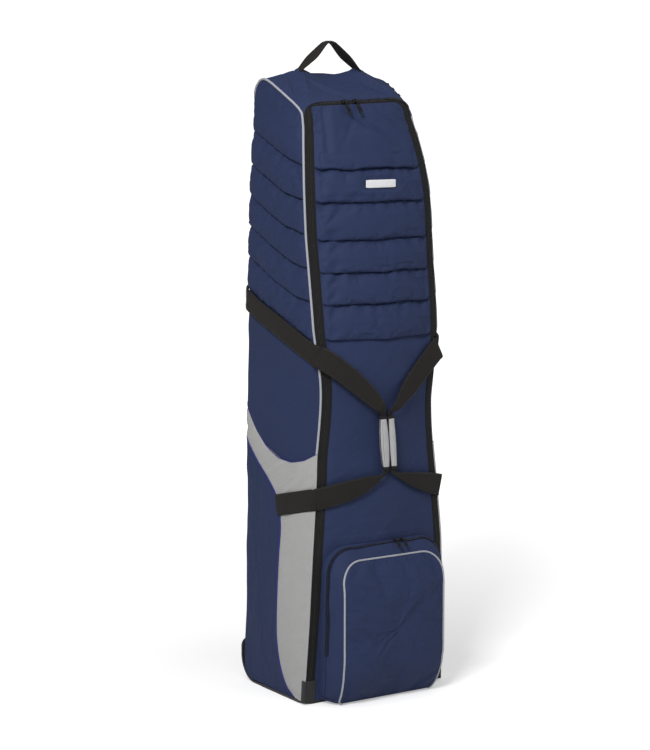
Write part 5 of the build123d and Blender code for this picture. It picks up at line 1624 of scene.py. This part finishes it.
def grip(sign, tag):
    """Light sleeve round the webbing, with dark cords down its edges and wraps at its ends."""
    z = np.linspace(GRIP_BOTTOM, GRIP_TOP, 44)
    rise = (z - GRIP_BOTTOM) / (GRIP_TOP - GRIP_BOTTOM)
    swell = 3.4 if sign < 0 else 1.4
    wide = 6.6 + swell * np.sin(np.pi * clip01(rise * 1.04 - 0.02)) ** 0.8
    # the sine can dip just below 0 at the very end, so it is held at 0 or more
    arch = np.sin(np.pi * rise)
    deep = 5.6 + 1.6 * np.maximum(arch, 0.0) ** 0.7
    x = grip_x(sign, z)
    pieces = [grip_tube(sign, z, wide, deep + 0.25 * np.sin(z / 5.0), "grip_fabric")]
    for way, size in ((-sign, 2.6), (sign, 1.5)):
        path = np.stack([x + way * (wide + 0.2), GRIP_Y - 0.6 - 0.2 * arch, z], -1)
        pieces.append(cord("grip_edge", path, size * 0.62, "black_webbing", sides=8))
    for end in (GRIP_TOP - 1.5, GRIP_BOTTOM + 1.5):
        wrap_z = np.linspace(end - 3.0, end + 3.0, 9)
        size = 1.10 + 0.10 * np.sin(np.pi * (wrap_z - wrap_z[0]) / 6.0)
        pieces.append(grip_tube(sign, wrap_z, 6.4 * size, 5.4 * size, "black_webbing"))
    seam = np.stack([x + sign * (wide - 2.6), GRIP_Y - deep + 0.8, z], -1)[3:-3]
    pieces.append(stitches(seam, np.array([0, -1.0, 0]), pitch=4.0, length=2.8, radius=0.35))
    obj = join(f"grip_sleeve_{tag}", pieces)
    place(obj, f"{tag}_carry_handle", "grip_fabric", f"grip_{tag}")


for sign, tag in SIDES:
    carry_strap(sign, tag)
    grip(sign, tag)

# ---------------------------------------------------------------- top grab handle
# left half of the arch: x, y, z, half width
ARCH = np.array([(x, HANDLE_Y, z, half) for x, z, half in (
    (-78, 1319.0, 12.5), (-73, 1327.0, 12.5), (-66, 1334.0, 12.3), (-52, 1346.5, 12.2),
    (-36, 1360.0, 11.6), (-20, 1375.0, 11.0), (-10, 1383.5, 10.6), (0, 1386.2, 10.4))])


def top_handle():
    even = spline(np.vstack([ARCH, (ARCH * [-1, 1, 1, 1])[-2::-1]]), 140)
    centre = even[:, :3]
    x = centre[:, 0]
    along = tangents(centre)
    # the webbing twists a little on each leg
    twist = 0.62 * np.sin(clip01((np.abs(x) - 8) / 60.0) * np.pi)
    width = np.stack([np.zeros(140), np.cos(twist), -np.sin(twist) * np.sign(x)], -1)
    width = square_to(width, along)
    normal = np.cross(width, along)
    normal = normal * np.where(normal[:, 2:3] < 0, -1, 1)
    pieces = [webbing(centre, width, normal, even[:, 3], 5.0)]
    sewn = slice(26, 114)
    pieces += edge_seams(centre[sewn], width[sewn], normal[sewn], reach=7.0, lift=2.5,
                         pitch=4.0, length=2.8)
    obj = join("top_handle_webbing", pieces)
    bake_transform(obj)
    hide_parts("top_handle", "top_handle_tabs")


top_handle()


# ---------------------------------------------------------------- corner guards
def corner_guard(sign, tag):
    """Moulded strip round the bottom of a front edge."""
    out, radius = 2.6, 5.2
    inset = np.linspace(COIL_INSET + TAPE_WIDTH + 2.0, 3, 14)
    angle = np.radians(np.linspace(10, 80, 7))
    rows = []
    for z in np.linspace(5.0, 52.0, 20):
        edge_x, y = half_front(z), edge_y(z)
        face = front(sign * (edge_x - inset), np.full_like(inset, z), out)
        bend = np.stack([sign * (edge_x - out + radius * np.sin(angle)),
                         y + 1.4 - radius * np.cos(angle), np.full(7, z)], -1)
        back = np.stack([sign * np.full(6, edge_x + out), y + np.linspace(2, 8.5, 6),
                         np.full(6, z)], -1)
        rows.append(np.vstack([face, bend, back]))
    guard = sheet(f"corner_guard_{tag}", np.array(rows), "moulded_black", 2.4, flip=sign < 0)
    nodes = ["front_corner_guards"] if sign < 0 else []
    place(guard, "case_body", "moulded_black", *nodes)


for sign, tag in SIDES:
    corner_guard(sign, tag)


# ---------------------------------------------------------------- stage (metres)
def floor_material():
    """White floor whose glow, growing with distance, shows mostly to the camera."""
    shader = Shader("studio_floor")
    shader.shade({"Base Color": (0.86, 0.86, 0.86)})
    cloud = shader.noise(shader.object_coord(), scale=1.2, detail=2.0)
    shader.shade({"Base Color": shader.mix(cloud, (0.86, 0.86, 0.86), (0.88, 0.88, 0.88)),
                  "Emission Color": (1, 1, 1)})
    camera_ray = shader.node("ShaderNodeLightPath").outputs["Is Camera Ray"]
    x, y = shader.split(shader.object_coord())
    squares = shader.math("ADD", shader.math("MULTIPLY", x, x), shader.math("MULTIPLY", y, y))
    radius = shader.math("SQRT", squares)
    # the glow grows from 0.345 beyond a radius of 0.35
    far = shader.math("MULTIPLY", shader.above(radius, 0.35), 0.42)
    far = shader.math("MINIMUM", far, 1.0)
    glow = shader.math("ADD", shader.math("MULTIPLY", far, 0.55), 0.345)
    glow = shader.math("ADD", shader.math("MULTIPLY", camera_ray, glow), 0.04)
    shader.shade({"Emission Strength": glow, "Roughness": 0.9, "Specular IOR Level": 0.0})
    return shader.material


def studio_floor():
    """Disc of rings about the origin."""
    material = floor_material()
    mesh = bpy.data.meshes.new("floor")
    radii = np.concatenate([[0.4], np.geomspace(1.0, 60.0, 12)])
    angles = np.linspace(0, 2 * np.pi, 64, endpoint=False)
    verts = [(0.0, 0.0, 0.0)]
    verts += [(r * math.cos(a), r * math.sin(a), 0.0) for r in radii for a in angles]
    faces = [(0, 1 + i, 1 + (i + 1) % 64) for i in range(64)]
    for k in range(len(radii) - 1):
        near, far = 1 + k * 64, 1 + (k + 1) * 64
        faces += [(near + i, far + i, far + (i + 1) % 64, near + (i + 1) % 64)
                  for i in range(64)]
    mesh.from_pydata(verts, [], faces)
    mesh.polygons.foreach_set("use_smooth", np.ones(len(mesh.polygons), bool))
    floor = link(bpy.data.objects.new("studio_floor", mesh))
    mesh.materials.append(material)


def studio_world():
    """White surroundings, brighter to the camera than as light."""
    ambient, camera_extra = 0.27, 0.85
    world = bpy.data.worlds.new("studio")
    scene.world = world
    world.use_nodes = True
    tree = world.node_tree
    background = tree.nodes["Background"]
    background.inputs[0].default_value = (1.0, 1.0, 1.0, 1)
    path = tree.nodes.new("ShaderNodeLightPath")
    strength = tree.nodes.new("ShaderNodeMath")
    strength.operation = "MULTIPLY_ADD"
    strength.inputs[1].default_value = camera_extra
    strength.inputs[2].default_value = ambient
    tree.links.new(path.outputs["Is Camera Ray"], strength.inputs[0])
    tree.links.new(strength.outputs[0], background.inputs[1])


def area_light(name, location, size, power, target):
    light = bpy.data.lights.new(name, "AREA")
    light.shape = "RECTANGLE"
    light.size, light.size_y = size
    light.energy = power
    obj = link(bpy.data.objects.new(name, light))
    obj.location = location
    aim = Vector(target) - Vector(location)
    obj.rotation_euler = aim.to_track_quat("-Z", "Y").to_euler()


def camera():
    heading, pitch = math.radians(33.2), math.radians(7.79)     # from +y, downward
    data = bpy.data.cameras.new("cam")
    data.sensor_width = 36.0
    data.lens = 104.208
    data.clip_start, data.clip_end = 0.05, 60.0
    obj = link(bpy.data.objects.new("cam", data))
    obj.location = (-2.571, -3.8723, 1.310)
    aim = Vector((math.sin(heading) * math.cos(pitch), math.cos(heading) * math.cos(pitch),
                  -math.sin(pitch)))
    obj.rotation_mode = "QUATERNION"
    obj.rotation_quaternion = aim.to_track_quat("-Z", "Y")
    scene.camera = obj


studio_floor()
studio_world()
area_light("key", location=(-2.75, -2.25, 3.35), size=(1.1, 1.1), power=138,
           target=(0, 0, 0.8))
area_light("fill", location=(2.6, -2.8, 1.8), size=(1.8, 2.4), power=15, target=(0, 0, 0.7))
area_light("top", location=(0.1, -0.9, 3.8), size=(1.8, 1.8), power=16, target=(0, 0, 0.8))
camera()
scene.view_settings.view_transform = "Standard"

bpy.context.view_layer.update()
